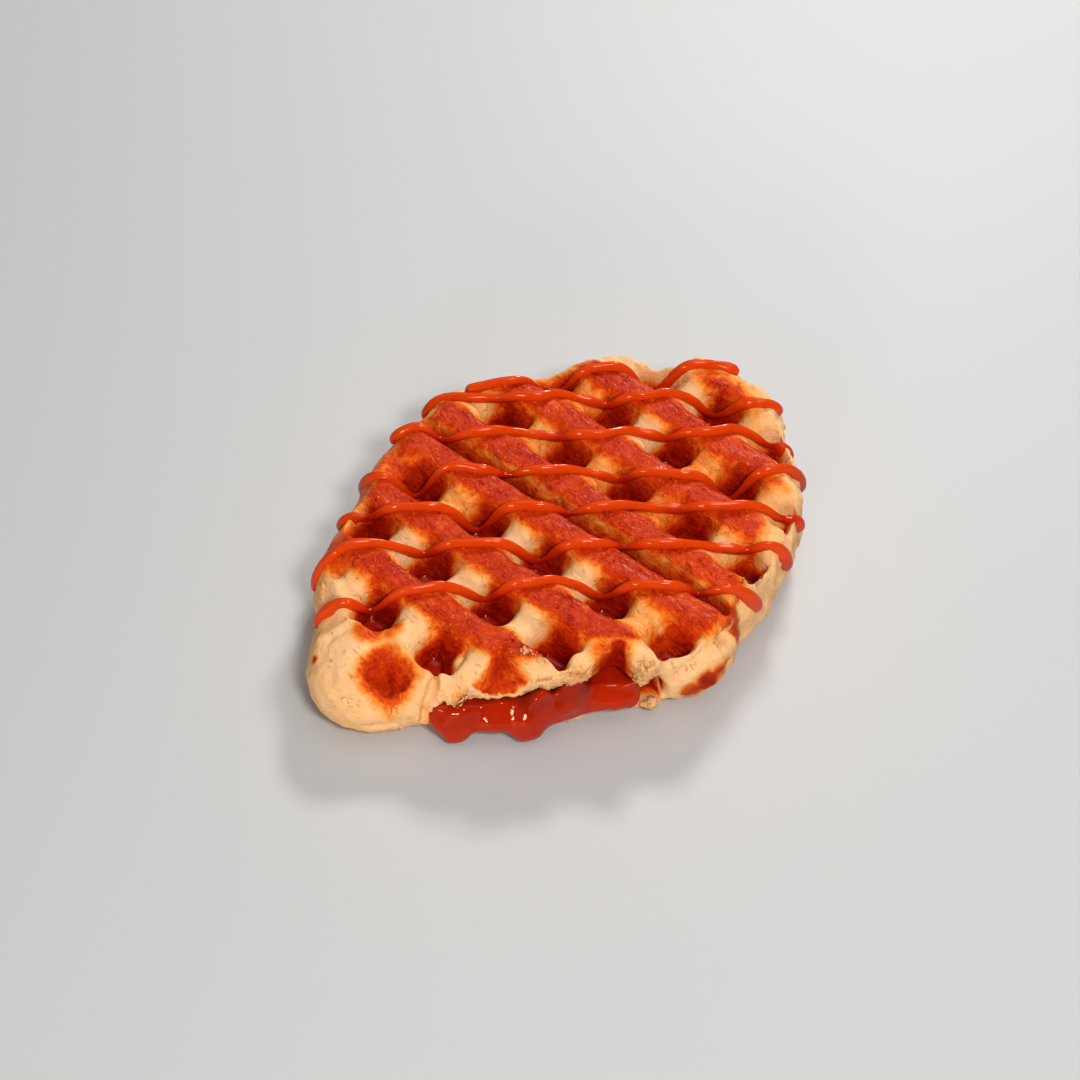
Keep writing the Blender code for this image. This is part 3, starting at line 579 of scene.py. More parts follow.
def side_rings():
    """The rings of the side from the upper one to the lower one, as points in space."""
    out = outward(EDGE)
    x, y = EDGE.T
    angle = bearing(x, y)
    split, lobe = split_share(x, y), lobe_share(x, y)
    jag = 0.35 * flat_swell(x, y, 1.5, 11) + 0.4 * flat_swell(x, y, 3.6, 12)
    lip = LIP_INSET * (1.0 - at_noses(angle, np.ones(len(NOSES)))) - at_noses(angle, NOSE_REACH) + jag
    lip += NOTCH[2] * smooth(NOTCH[1], 0.0, np.abs(angle - NOTCH[0]))
    lip_depth = np.maximum(lip, LEAST_LIP)
    lip_rise = top_height(*(EDGE - out * lip_depth[:, None]).T, lip_depth)
    reach = SHOULDER + (LOBE_SHOULDER - SHOULDER) * lobe + (THIN_SHOULDER - SHOULDER) * thin_share(x, y)
    crown = toward(RIDGE_TOP, LOBE_TOP, lobe)
    plain = np.zeros((SIDE_LEVELS, len(EDGE), 2))
    for level, turn in enumerate(np.radians(np.linspace(TOP_ANGLE, BASE_ANGLE, SIDE_LEVELS))):
        shoulder, rise = (reach, crown - WIDEST_HEIGHT) if turn >= 0 else (UNDER_SHOULDER, WIDEST_HEIGHT)
        plain[level, :, 0] = shoulder * (1.0 - math.cos(turn))
        plain[level, :, 1] = WIDEST_HEIGHT + rise * math.sin(turn)
    torn = plain.copy()
    for at in np.nonzero(split > 0)[0]:
        torn[:, at] = split_profile(angle[at], lip[at], lip_rise[at])
    mixed = toward(plain, torn, split[None, :, None])
    curl = round_bump(angle, CURLED_LIP)
    mixed[-5:, :, 0] -= np.outer(CURLED_LIP_REACH, curl)
    mixed[-5:, :, 1] += np.outer(CURLED_LIP_RISE, curl)
    return [np.column_stack([EDGE - out * level[:, :1], level[:, 1]]) for level in mixed]


def grid_lines(centres, offsets, reach):
    """Grid lines at each offset to both sides of each centre, within the reach and none too close together."""
    both = {round(way * offset, 4) for offset in offsets for way in (-1, 1)}
    kept = []
    for line in sorted(centre + offset for centre in centres for offset in sorted(both)):
        if abs(line) < reach and (not kept or line - kept[-1] > LINE_GAP):
            kept.append(line)
    return np.array(kept)


def sheet_mesh(ring, offsets, clearance, height):
    """Points and faces that fill a ring: a grid that follows the lattice, joined to the ring by a band of triangles."""
    right = GROOVE_X + GROOVE_HALF + PITCH * np.arange(6)
    columns = grid_lines(np.concatenate([right, 2 * GROOVE_X - right]), offsets, GRID_REACH[0])
    rows = grid_lines(CROSS_Y + PITCH * np.arange(-4, 4), offsets, GRID_REACH[1])
    along, across = np.meshgrid(columns, rows, indexing="ij")
    y = (across - LEAN_Y * along) / (1.0 - LEAN_X * LEAN_Y)
    x = along - LEAN_X * y
    inside = ring_depth(x, y, ring[:, :2]) > clearance
    cells = inside[:-1, :-1] & inside[1:, :-1] & inside[:-1, 1:] & inside[1:, 1:]
    used = np.zeros_like(inside)
    for di, dj in ((0, 0), (1, 0), (0, 1), (1, 1)):
        used[di:used.shape[0] - 1 + di, dj:used.shape[1] - 1 + dj] |= cells
    number = np.full(inside.shape, -1)
    number[used] = np.arange(used.sum())
    points = np.column_stack([x[used], y[used]])
    i, j = np.nonzero(cells)
    quads = np.column_stack([number[i, j], number[i + 1, j], number[i + 1, j + 1], number[i, j + 1]])

    ends = np.concatenate([np.roll(quads, way, 1)[:, :2] for way in range(4)])
    ordered, count = np.unique(np.sort(ends, axis=1), axis=0, return_counts=True)
    border = ordered[count == 1]
    edge_points = np.unique(border)
    local = {int(point): at for at, point in enumerate(edge_points)}
    first = len(edge_points)
    edges = [(local[int(a)], local[int(b)]) for a, b in border]
    edges += [(first + at, first + (at + 1) % len(ring)) for at in range(len(ring))]
    flat = [tuple(place) for place in np.concatenate([points[edge_points], ring[:, :2]])]
    placed, _, faces, origins, _, _ = delaunay_2d_cdt(flat, edges, [], 0, 1e-7)
    source = [origin[0] if origin else -1 for origin in origins]
    middle = np.array([np.mean([placed[at] for at in face], axis=0) for face in faces])
    in_ring = ring_depth(middle[:, 0], middle[:, 1], ring[:, :2]) > 0
    middle_along, middle_across = lattice_place(*middle.T)
    ci = np.clip(np.searchsorted(columns, middle_along) - 1, 0, len(columns) - 2)
    cj = np.clip(np.searchsorted(rows, middle_across) - 1, 0, len(rows) - 2)
    band = []
    for face, keep, covered in zip(faces, in_ring, cells[ci, cj]):
        corners = [source[at] for at in face]
        if keep and not covered and min(corners) >= 0:
            band.append([int(edge_points[at]) if at < first else at - first + len(points) for at in corners])
    z = height(*points.T, ring_depth(*points.T, EDGE))
    return np.column_stack([points, z]), quads.tolist(), band


def vertex_normals(points, faces):
    """The mean direction of the faces round each point."""
    normals = np.zeros_like(points)
    for size in (3, 4):
        group = np.array([face for face in faces if len(face) == size])
        if not len(group):
            continue
        corner = points[group]
        facing = np.cross(corner[:, size - 2] - corner[:, 0], corner[:, size - 1] - corner[:, size - 3])
        for at in range(size):
            np.add.at(normals, group[:, at], facing)
    return normals / np.maximum(np.linalg.norm(normals, axis=1), 1e-9)[:, None]


def dough_shape():
    """The whole surface of the dough: its points and faces, where its side starts, and where its underside does."""
    rings = side_rings()
    top_lines = (*np.arange(0.0, TOP_FLAT, TOP_STEP), *WALL_LINES)
    top, top_quads, top_band = sheet_mesh(rings[0], top_lines, TOP_CLEARANCE, top_height)
    base, base_quads, base_band = sheet_mesh(rings[-1], BASE_LINES, BASE_CLEARANCE, base_height)
    count = len(EDGE)
    ring_start = len(top)
    base_start = ring_start + count * len(rings)
    last = base_start - count
    faces = top_quads + top_band
    for a in range(ring_start, last, count):
        for at in range(count):
            after = (at + 1) % count
            faces.append([a + at, a + count + at, a + count + after, a + after])
    faces += [[base_start + at for at in face[::-1]] for face in base_quads]
    faces += [
        [base_start + at if at < len(base) else at - len(base) + last for at in face[::-1]]
        for face in base_band
    ]
    return np.concatenate([top] + rings + [base]), faces, ring_start, base_start


def lobe_pocket_reach(x, y):
    """How far each point lies from the middle of the puffed end's pocket: 1 at its rim."""
    along, across = lattice_place(x, y)
    along = np.abs(along - LOBE_POCKET[0]) / LOBE_POCKET_HALF
    across = np.abs(across - LOBE_POCKET[1]) / LOBE_POCKET_HALF
    return (along ** LOBE_POCKET_CORNER + across ** LOBE_POCKET_CORNER) ** (1.0 / LOBE_POCKET_CORNER)


def dent_lobe_pocket(points):
    """Presses the shallow pocket into the puffed end, with a soft rim, where it runs out over the front."""
    share = np.clip((1.04 - lobe_pocket_reach(points[:, 0], points[:, 1])) / 0.92, 0.0, 1.0)
    share = 0.5 * (share + np.sqrt(share * share + 0.004)) - 0.0316 * (1.0 - share)
    share *= smooth(WIDEST_HEIGHT - 2.0, WIDEST_HEIGHT + 3.0, points[:, 2])
    points[:, 2] -= LOBE_POCKET_DEPTH * share


def line_reach(points, line):
    """How far each point lies from a bent line, and where along it the nearest place is, from 0 to 1."""
    line = np.array(line, float)
    steps = np.linalg.norm(np.diff(line, axis=0), axis=1)
    so_far = np.concatenate([[0.0], np.cumsum(steps)])
    best = np.full(len(points), np.inf)
    place = np.zeros(len(points))
    for at, step in enumerate(steps):
        side = line[at + 1] - line[at]
        share = np.clip((points - line[at]) @ side / (step * step), 0.0, 1.0)
        distance = np.linalg.norm(points - line[at] - share[:, None] * side, axis=1)
        closer = distance < best
        best = np.where(closer, distance, best)
        place = np.where(closer, (so_far[at] + share * step) / so_far[-1], place)
    return best, place


def side_layer_line(first, last, low, high):
    """A line along the outline between two bearings, at a height that wanders a little."""
    angles = np.linspace(first, last, 30)
    x, y = along_edge(angles, EDGE)
    return np.column_stack([x, y, np.linspace(low, high, len(angles)) + 0.8 * waver(x, y, 5)])


def folds_relief(points):
    """The creases and layers in the dough, as a height along the surface's outward direction."""
    relief = np.zeros(len(points))
    for line, wide, deep in FOLDS + tuple((side_layer_line(*layer[:4]), *layer[4:]) for layer in LAYERS):
        distance, place = line_reach(points, line)
        ends = smooth(0.0, 0.14, place) * smooth(1.0, 0.86, place)
        relief -= deep * ends * np.exp(-(distance / wide) ** 2)
        relief += 0.35 * deep * ends * np.exp(-((distance - 2.3 * wide) / (1.1 * wide)) ** 2)
    return relief


def near_spot(points, middle, radius, full):
    """1 close to a spot's middle, up to a share of its radius, and 0 outside it."""
    return smooth(1.25, full, np.linalg.norm(points - np.array(middle), axis=1) / radius)


def spots_share(points, spots):
    """The strongest of several round spots at each point."""
    return np.max([strength * near_spot(points, middle, radius, 0.45) for middle, radius, strength in spots], axis=0)


def survey(points, ring_start, base_start):
    """What the dough's finish goes by at each point: where it lies, and slow and fine noise."""
    x, y, z = points.T
    order = np.arange(len(points))
    at = SimpleNamespace(points=points, x=x, y=y, z=z, depth=ring_depth(x, y, EDGE), angle=bearing(x, y))
    at.main, at.cross, at.groove = lattice(x, y)
    at.along, at.across = lattice_place(x, y)
    at.split, at.lobe = split_share(x, y), lobe_share(x, y)
    at.level = (z - POCKET_FLOOR) / (RIDGE_TOP - POCKET_FLOOR)
    at.top, at.under = order < ring_start, order >= base_start
    at.side = ~at.top & ~at.under
    at.not_under = np.where(at.under, 0.0, 1.0)
    at.slow, at.fine, at.finer = swell(points, 7.0, 21), swell(points, 2.2, 22), swell(points, 1.1, 23)
    at.bare_rim = read_off(BARE_RIM, at.angle)
    lobe_dip = lobe_pocket_reach(x, y) + 0.12 * at.fine + 0.08 * at.slow
    at.lobe_glaze = LOBE_GLAZE + LOBE_POCKET_GLAZE * smooth(1.6, 0.7, lobe_dip)
    return at


def top_glaze(at):
    """The glaze on the upper side: bare cross ridges and rim, thin on the ridges' shoulders, dark in the pockets."""
    column = np.abs(at.along[:, None] - np.array(SADDLE_COLUMNS)).argmin(1)
    row = np.abs(at.across[:, None] - np.array(SADDLE_ROWS)).argmin(1)
    saddle = smooth(2.1, 6.2, at.main + 0.6 * at.fine + 0.7 * at.slow) * smooth(6.4, 4.2, at.cross) * ~at.groove
    saddle *= smooth(0.16, 0.66, at.level + 0.06 * at.fine) * np.array(BARE_SADDLES)[row, column]
    glaze = RIDGE_GLAZE + 0.10 * at.slow + 0.06 * at.fine
    glaze -= (0.18 + 0.12 * at.fine) * np.exp(-((at.level - 0.87) / 0.11) ** 2)
    glaze = toward(glaze, POCKET_GLAZE, smooth(0.70, 0.28, at.level))
    glaze = toward(glaze, SADDLE_GLAZE, saddle)
    # Thinner glaze makes the groove's far wall lighter: painted light on the side of the groove that is lit.
    lit_groove_wall = at.groove * (at.along > GROOVE_X) * smooth(0.38, 0.62, at.level) * smooth(1.0, 0.86, at.level)
    glaze -= (0.21 + 0.18 * at.slow + 0.16 * at.fine) * lit_groove_wall
    from_edge = at.depth * (1.0 - 0.45 * thin_share(at.x, at.y)) + 0.9 * at.slow + 0.5 * at.fine
    rim = smooth(5.6, 1.8, from_edge) * at.bare_rim * smooth(0.1, 0.5, at.level)
    glaze = toward(glaze, RIM_GLAZE, rim * np.where(at.groove & (at.y < 0), 0.15, 1.0))
    glaze = toward(glaze, at.lobe_glaze, np.where(at.top, at.lobe, 0.0))
    for pocket in CUT_POCKETS:
        glaze = toward(glaze, CUT_POCKET_GLAZE, smooth(0.02, 0.6, cut_pocket_share(at.x, at.y, pocket)))
    return glaze


def whole_glaze(at):
    """The glaze all over the dough, with what has run down the side and into the split."""
    side = SIDE_GLAZE + 0.06 * at.slow + 0.04 * at.fine
    side += 0.5 * (1.0 - at.bare_rim) * smooth(7.0, 12.0, at.z + 1.5 * at.slow)
    side = np.maximum(side, at.lobe * at.lobe_glaze * smooth(5.0, 8.5, at.z))
    glaze = np.where(at.side, side, top_glaze(at))
    glaze = np.where(at.under, UNDER_GLAZE + 0.2 * at.slow, glaze)
    glaze = np.maximum(glaze, spots_share(at.points, GLAZE_SPOTS) * at.not_under)
    in_notch = smooth(NOTCH[1], 0.4 * NOTCH[1], np.abs(at.angle - NOTCH[0]))
    niche = at.side * in_notch * smooth(14.4, 11.4, at.z) * (at.z > 7.5)
    glaze = np.maximum(glaze, niche * (0.5 + 0.36 * smooth(12.4, 10.2, at.z)))
    hollow = at.side * at.split * (at.depth > 2.6)
    glaze = np.where(hollow, np.maximum(glaze, SPLIT_GLAZE), glaze)
    for middle, radius, left in THIN_GLAZE_SPOTS:
        thin = near_spot(at.points, middle, radius, 0.5) * at.not_under
        glaze = toward(glaze, np.minimum(glaze, left), thin)
    return glaze


def lump_relief(at, glaze, pool, torn):
    """Lumps, a crumpled rim, flaky layers and folds, as a height along the surface's outward direction."""
    lump = 0.20 * at.slow + 0.12 * at.fine + 0.07 * at.finer
    crumpled = read_off(CRUMPLED_RIM, at.angle) * smooth(6.0, 2.5, at.depth) * at.not_under * (1.0 - at.split)
    lump += crumpled * (0.95 * swell(at.points, 5.2, 25) + 0.40 * at.fine + 0.16 * at.finer)
    lump = lump * (1.0 - pool) * np.where(at.under, 0.5, 1.0)
    level_flakes = swell(at.points * np.array([0.5, 0.5, 1.8]), 1.6, 24)
    upright_flakes = swell(at.points * np.array([1.7, 1.7, 0.5]), 1.5, 26)
    lump += torn * (0.20 * at.fine + 0.30 * upright_flakes + 0.10 * at.finer)
    bare_side = at.side * (1.0 - torn) * smooth(0.5, 0.15, glaze)
    lump += bare_side * (0.24 * level_flakes + 0.10 * at.finer)
    return lump + folds_relief(at.points)


def finish_dough(points, faces, ring_start, base_start):
    """The points moved by the small relief, and how glazed, wet, torn and browned each one is."""
    at = survey(points, ring_start, base_start)
    pool = smooth(0.10, 0.03, at.level) * at.top * (1.0 - at.lobe) * smooth(3.0, 4.5, at.depth)
    roof = 8.9 + at_noses(at.angle, NOSE_RISE)
    torn = at.split * smooth(1.3, 0.3, at.depth) * smooth(roof + 3.4, roof + 1.2, at.z) * at.not_under
    torn = np.maximum(torn, spots_share(points, [(*spot, TORN_STRENGTH) for spot in TORN_SPOTS]) * at.not_under)
    brown = spots_share(points, BROWN_SPOTS)
    glaze = np.maximum(whole_glaze(at), 1.05 * brown * (at.z < 14.0))
    flecks = at.top * smooth(0.72, 0.9, at.level) * (1.0 - at.lobe) * smooth(3.0, 5.0, at.depth)
    flecks *= smooth(0.25, 0.5, glaze)
    moved = points + vertex_normals(points, faces) * lump_relief(at, glaze, pool, torn)[:, None]
    moved[:, 2] = np.clip(moved[:, 2], 0.0, None)
    return moved, {"glaze": np.clip(glaze, 0.0, 1.0), "pool": pool, "torn": torn, "brown": brown, "flecks": flecks}


def put(name, data):
    """A new object in the scene."""
    made = bpy.data.objects.new(name, data)
    bpy.context.scene.collection.objects.link(made)
    return made


def new_piece(name, points, edges, faces):
    """A smooth mesh object from points in millimetres, moved so that the croffle's middle is at the origin."""
    mesh = bpy.data.meshes.new(name)
    mesh.from_pydata(((np.array(points) - (*MIDDLE, 0.0)) * MM).tolist(), edges, faces)
    mesh.shade_smooth()
    return put(name, mesh)


def set_attribute(made, name, values):
    """A number for each point of a piece, for its finish to read."""
    layer = made.data.attributes.new(name, "FLOAT", "POINT")
    layer.data.foreach_set("value", np.asarray(values, np.float32))


def feed(tree, made, inputs):
    """Gives each named input of a node a plain value, or a socket to follow."""
    for name, value in inputs.items():
        if isinstance(value, bpy.types.NodeSocket):
            tree.links.new(value, made.inputs[name])
        else:
            made.inputs[name].default_value = value


def node(tree, kind, inputs=None, **settings):
    """The outputs of a new node, with its settings and its inputs."""
    made = tree.nodes.new(kind)
    for name, value in settings.items():
        setattr(made, name, value)
    feed(tree, made, inputs or {})
    return made.outputs


def calc(tree, kind, *values):
    """One step of arithmetic."""
    return node(tree, "ShaderNodeMath", dict(enumerate(values)), operation=kind)[0]


def total(tree, *parts):
    """The sum of several values, each with its weight."""
    whole = 0.0
    for value, weight in parts:
        whole = calc(tree, "MULTIPLY_ADD", value, weight, whole)
    return whole


def swing(tree, value):
    """A texture's value, moved so that it swings round 0."""
    return calc(tree, "SUBTRACT", value, 0.5)


def rescale(tree, value, low, high, to_low=0.0, to_high=1.0, **settings):
    """A value taken from one range to another, and held within it."""
    ranges = {"Value": value, "From Min": low, "From Max": high, "To Min": to_low, "To Max": to_high}
    return node(tree, "ShaderNodeMapRange", ranges, **settings)["Result"]


def texture(tree, vector, scale, detail=2.0, roughness=0.5, distortion=0.0):
    """Noise over a surface."""
    inputs = {"Vector": vector, "Scale": scale, "Detail": detail, "Roughness": roughness, "Distortion": distortion}
    return node(tree, "ShaderNodeTexNoise", inputs)["Fac"]


def tinted(tree, factor, colour, tint, way="MULTIPLY"):
    """A colour with a tint laid over it."""
    inputs = {"Factor": factor, "A": colour, "B": tint}
    return node(tree, "ShaderNodeMix", inputs, data_type="RGBA", blend_type=way)["Result"]


def ramp(tree, value, stops):
    """The colour at a value, between stops."""
    made = tree.nodes.new("ShaderNodeValToRGB")
    feed(tree, made, {"Fac": value})
    while len(made.color_ramp.elements) < len(stops):
        made.color_ramp.elements.new(0.5)
    for element, (place, colour) in zip(made.color_ramp.elements, stops):
        element.position = place
        element.color = (*colour, 1.0)
    return made.outputs["Color"]


def bumped(tree, height, strength, distance):
    """The surface's normal, tilted by a height."""
    return node(tree, "ShaderNodeBump", {"Height": height, "Strength": strength, "Distance": distance})["Normal"]


def attribute(tree, name):
    """A number that the piece carries at each point."""
    return node(tree, "ShaderNodeAttribute", attribute_name=name)["Fac"]


def add_socket(tree, name, kind, value=None, way="INPUT"):
    """A named socket of a tree, with its plain value. It gives the socket's identifier."""
    socket = tree.interface.new_socket(name, in_out=way, socket_type="NodeSocket" + kind)
    if value is not None:
        socket.default_value = value
    return socket.identifier


def mesh_tree(name, sizes):
    """A geometry tree with named inputs: the tree, its input node and the inputs' identifiers."""
    tree = bpy.data.node_groups.new(name, "GeometryNodeTree")
    for way in ("INPUT", "OUTPUT"):
        add_socket(tree, "Geometry", "Geometry", way=way)
    named = {key: add_socket(tree, key, kind, value) for key, (kind, value) in sizes.items()}
    return tree, node(tree, "NodeGroupInput"), named


def end_tree(tree, geometry, finish):
    """Coats what a tree makes and hands it out."""
    coat = node(tree, "GeometryNodeSetMaterial", {"Geometry": geometry, "Material": finish})
    node(tree, "NodeGroupOutput", {"Geometry": coat["Geometry"]})


def plain_mesh(made, tree, values, name, finish):
    """Runs a tree on an object, and leaves what it makes as a plain mesh in a new object."""
    grown = made.modifiers.new("Grown", "NODES")
    grown.node_group = tree
    for identifier, value in values.items():
        grown[identifier] = value
    mesh = bpy.data.meshes.new_from_object(made.evaluated_get(bpy.context.evaluated_depsgraph_get()))
    mesh.materials.clear()
    mesh.materials.append(finish)
    bpy.data.objects.remove(made, do_unlink=True)
    mesh.shade_smooth()
    return put(name, mesh)


def thread_course(knots):
    """A thread's even course over the croffle, seen from above, with the distance along it."""
    full = np.vstack([2 * knots[0] - knots[1], knots, 2 * knots[-1] - knots[-2]])
    t = np.linspace(0.0, 1.0, 12, endpoint=False)[:, None]
    curve = np.vstack([between(*full[at:at + 4], t) for at in range(len(knots) - 1)] + [knots[-1:]])
    run = np.concatenate([[0.0], np.cumsum(np.linalg.norm(np.diff(curve, axis=0), axis=1))])
    along = np.linspace(0.0, run[-1], round(run[-1] / DRIZZLE_STEP) + 1)
    return along, np.column_stack([np.interp(along, run, curve[:, axis]) for axis in (0, 1)])


def resting_height(line):
    """How high a thread lies where the crust carries it, and lower past the rim."""
    way = np.gradient(line, axis=0)
    way /= np.linalg.norm(way, axis=1)[:, None]
    spread = np.linspace(-DRIZZLE_SPAN, DRIZZLE_SPAN, 3)
    x = line[:, 0, None] - way[:, 1, None] * spread
    y = line[:, 1, None] + way[:, 0, None] * spread
    depth = ring_depth(x, y, EDGE)
    near = np.where(depth > 0, top_height(x, y, np.maximum(depth, 0.0), 0.0), WIDEST_HEIGHT)
    hang = smooth(*DRIZZLE_HANG_DEPTH, ring_depth(*line.T, EDGE))
    return near.max(1) + DRIZZLE_SEAT * DRIZZLE_RADIUS - DRIZZLE_HANG * hang


def drizzle_line(knots):
    """A thread of drizzle: its places, its radius, and how much of it rests on the crust."""
    knots = np.array(knots)
    along, line = thread_course(knots)
    length, step = along[-1], along[1]
    rest = resting_height(line)
    curl = DRIZZLE_CURL * (1.0 + 0.3 * np.sin(0.19 * along + 1.3 * knots[0, 0]))
    height = np.full(len(along), rest.max())
    height[0], height[-1] = rest[0], max(rest[-1], DRIZZLE_RIGHT_END)
    for _ in range(DRIZZLE_ROUNDS):
        hung = (height[:-2] + height[2:]) / 2 - curl[1:-1] * step * step / 2
        height[1:-1] = np.maximum(rest[1:-1], hung)
    ease(height, 8)
    resting = smooth(1.5, 0.1, height - rest)
    radius = DRIZZLE_RADIUS * toward(DRIZZLE_THIN, 1.0, resting)
    radius *= 1.0 + 0.12 * np.sin(0.39 * along + knots[0, 0]) + 0.09 * np.sin(1.07 * along + 2.0 * knots[0, 1])
    ease(radius, 6)
    ease(resting, 6)
    from_end = np.concatenate([DRIZZLE_TIP, np.arange(DRIZZLE_TIP[-1] + step, length / 2, step)])
    wanted = np.concatenate([from_end, length - from_end[::-1]])
    x, y, height, radius, resting = (np.interp(wanted, along, row) for row in (*line.T, height, radius, resting))
    nearer = np.minimum(wanted, length - wanted)
    drop = DRIZZLE_DROP * rounding(np.maximum(nearer, 0.03 * DRIZZLE_DROP), DRIZZLE_DROP)
    radius = np.minimum(toward(radius, DRIZZLE_DROP, smooth(4.6, 1.8, nearer)), drop)
    return np.column_stack([x, y, height]), radius, resting


def thread_tree(finish):
    """A tree that gives each line a round section of the line's own radius."""
    tree, source, named = mesh_tree("Poured thread", {"Sides": ("Int", DRIZZLE_SIDES)})
    line = node(tree, "GeometryNodeMeshToCurve", {"Mesh": source["Geometry"]})
    upright = node(tree, "GeometryNodeSetCurveNormal", {"Curve": line["Curve"]}, mode="Z_UP")
    circle = node(tree, "GeometryNodeCurvePrimitiveCircle", {"Resolution": source["Sides"], "Radius": 1.0})
    squash = node(tree, "GeometryNodeTransform", {
        "Geometry": circle["Curve"], "Scale": (*DRIZZLE_SQUASH, 1.0)})
    radius = node(tree, "GeometryNodeInputNamedAttribute", {"Name": "thread_radius"}, data_type="FLOAT")
    skin = node(tree, "GeometryNodeCurveToMesh", {
        "Curve": upright["Curve"], "Profile Curve": squash["Geometry"],
        "Scale": radius["Attribute"], "Fill Caps": True})
    realize = node(tree, "GeometryNodeRealizeInstances", {"Geometry": skin["Mesh"]})
    end_tree(tree, realize["Geometry"], finish)
    return tree, named


def make_drizzle(finish):
    """All the threads of drizzle, as one piece."""
    points, radii, tones, edges = [], [], [], []
    for knots in DRIZZLE:
        line, radius, resting = drizzle_line(knots)
        edges += [(len(points) + at, len(points) + at + 1) for at in range(len(line) - 1)]
        points += line.tolist()
        radii += radius.tolist()
        tones += resting.tolist()
    lines = new_piece("drizzle_lines", points, edges, [])
    set_attribute(lines, "thread_radius", np.array(radii) * MM)
    set_attribute(lines, "tone", tones)
    tree, named = thread_tree(finish)
    return plain_mesh(lines, tree, {named["Sides"]: DRIZZLE_SIDES}, "drizzle", finish)


def round_end(ring, beside):
    """Rings that close a thick sheet with a round end, from the last ring outwards."""
    centre = ring.mean(0)
    way = centre - beside.mean(0)
    way /= np.linalg.norm(way)
    turns = np.radians(FILLING_END_TURNS)
    return np.array([
        centre + (ring - centre) * math.cos(turn) ** 0.7 + way * FILLING_END * math.sin(turn) for turn in turns
    ])


def filling_rings():
    """The caramel's sections in space, one after another along the split, with a round end at each side."""
    out = outward(EDGE)
    for _ in range(40):
        out = (np.roll(out, 1, 0) + out * 2 + np.roll(out, -1, 0)) / 4
    rings = []
    for angle in np.linspace(*FILLING_RUN, FILLING_STATIONS):
        place, way = np.array(along_edge(angle, EDGE)), np.array(along_edge(angle, out))
        profile = curve_through(caramel_section(angle), 5)
        rings.append(np.column_stack([place + np.outer(profile[:, 0], way / np.linalg.norm(way)), profile[:, 1]]))
    rings = np.array(rings)
    ease(rings, 3)
    return np.concatenate([round_end(rings[0], rings[1])[::-1], rings, round_end(rings[-1], rings[-2])])


def make_filling(finish):
    """The caramel in the split with its drips, from the same sections as the solid."""
    rings = filling_rings()
    around = rings.shape[1]
    points = list(rings.reshape(-1, 3))
    faces = []
    for a in range(0, len(points) - around, around):
        for at in range(around):
            after = (at + 1) % around
            faces.append([a + at, a + after, a + around + after, a + around + at])
    for ring, beside, turn in ((0, 1, -1), (len(rings) - 1, len(rings) - 2, 1)):
        centre = rings[ring].mean(0)
        way = centre - rings[beside].mean(0)
        points.append(centre + way / np.linalg.norm(way) * 0.1)
        for at in range(around):
            face = [ring * around + at, ring * around + (at + 1) % around, len(points) - 1]
            faces.append(face[::turn])
    points = np.array(points)
    fullness = -ring_depth(points[:, 0], points[:, 1], EDGE)
    lump = 0.55 * swell(points, 4.6, 31) + 0.20 * swell(points, 2.4, 32)
    points += vertex_normals(points, faces) * (lump * smooth(-1.0, 1.0, fullness))[:, None]
    points[:, 2] = np.maximum(points[:, 2], 0.1)
    made = new_piece("caramel_filling", points, [], faces)
    made.data.materials.append(finish)
    # The tone falls towards the top of the caramel, as painted shade under the lip, and wanders slowly besides.
    set_attribute(made, "tone", 0.75 - 0.45 * smooth(3.0, 11.0, points[:, 2]) + 0.16 * swell(points, 9.0, 33))
    shell = bmesh.new()
    shell.from_mesh(made.data)
    bmesh.ops.recalc_face_normals(shell, faces=shell.faces)
    shell.to_mesh(made.data)
    shell.free()
    return made


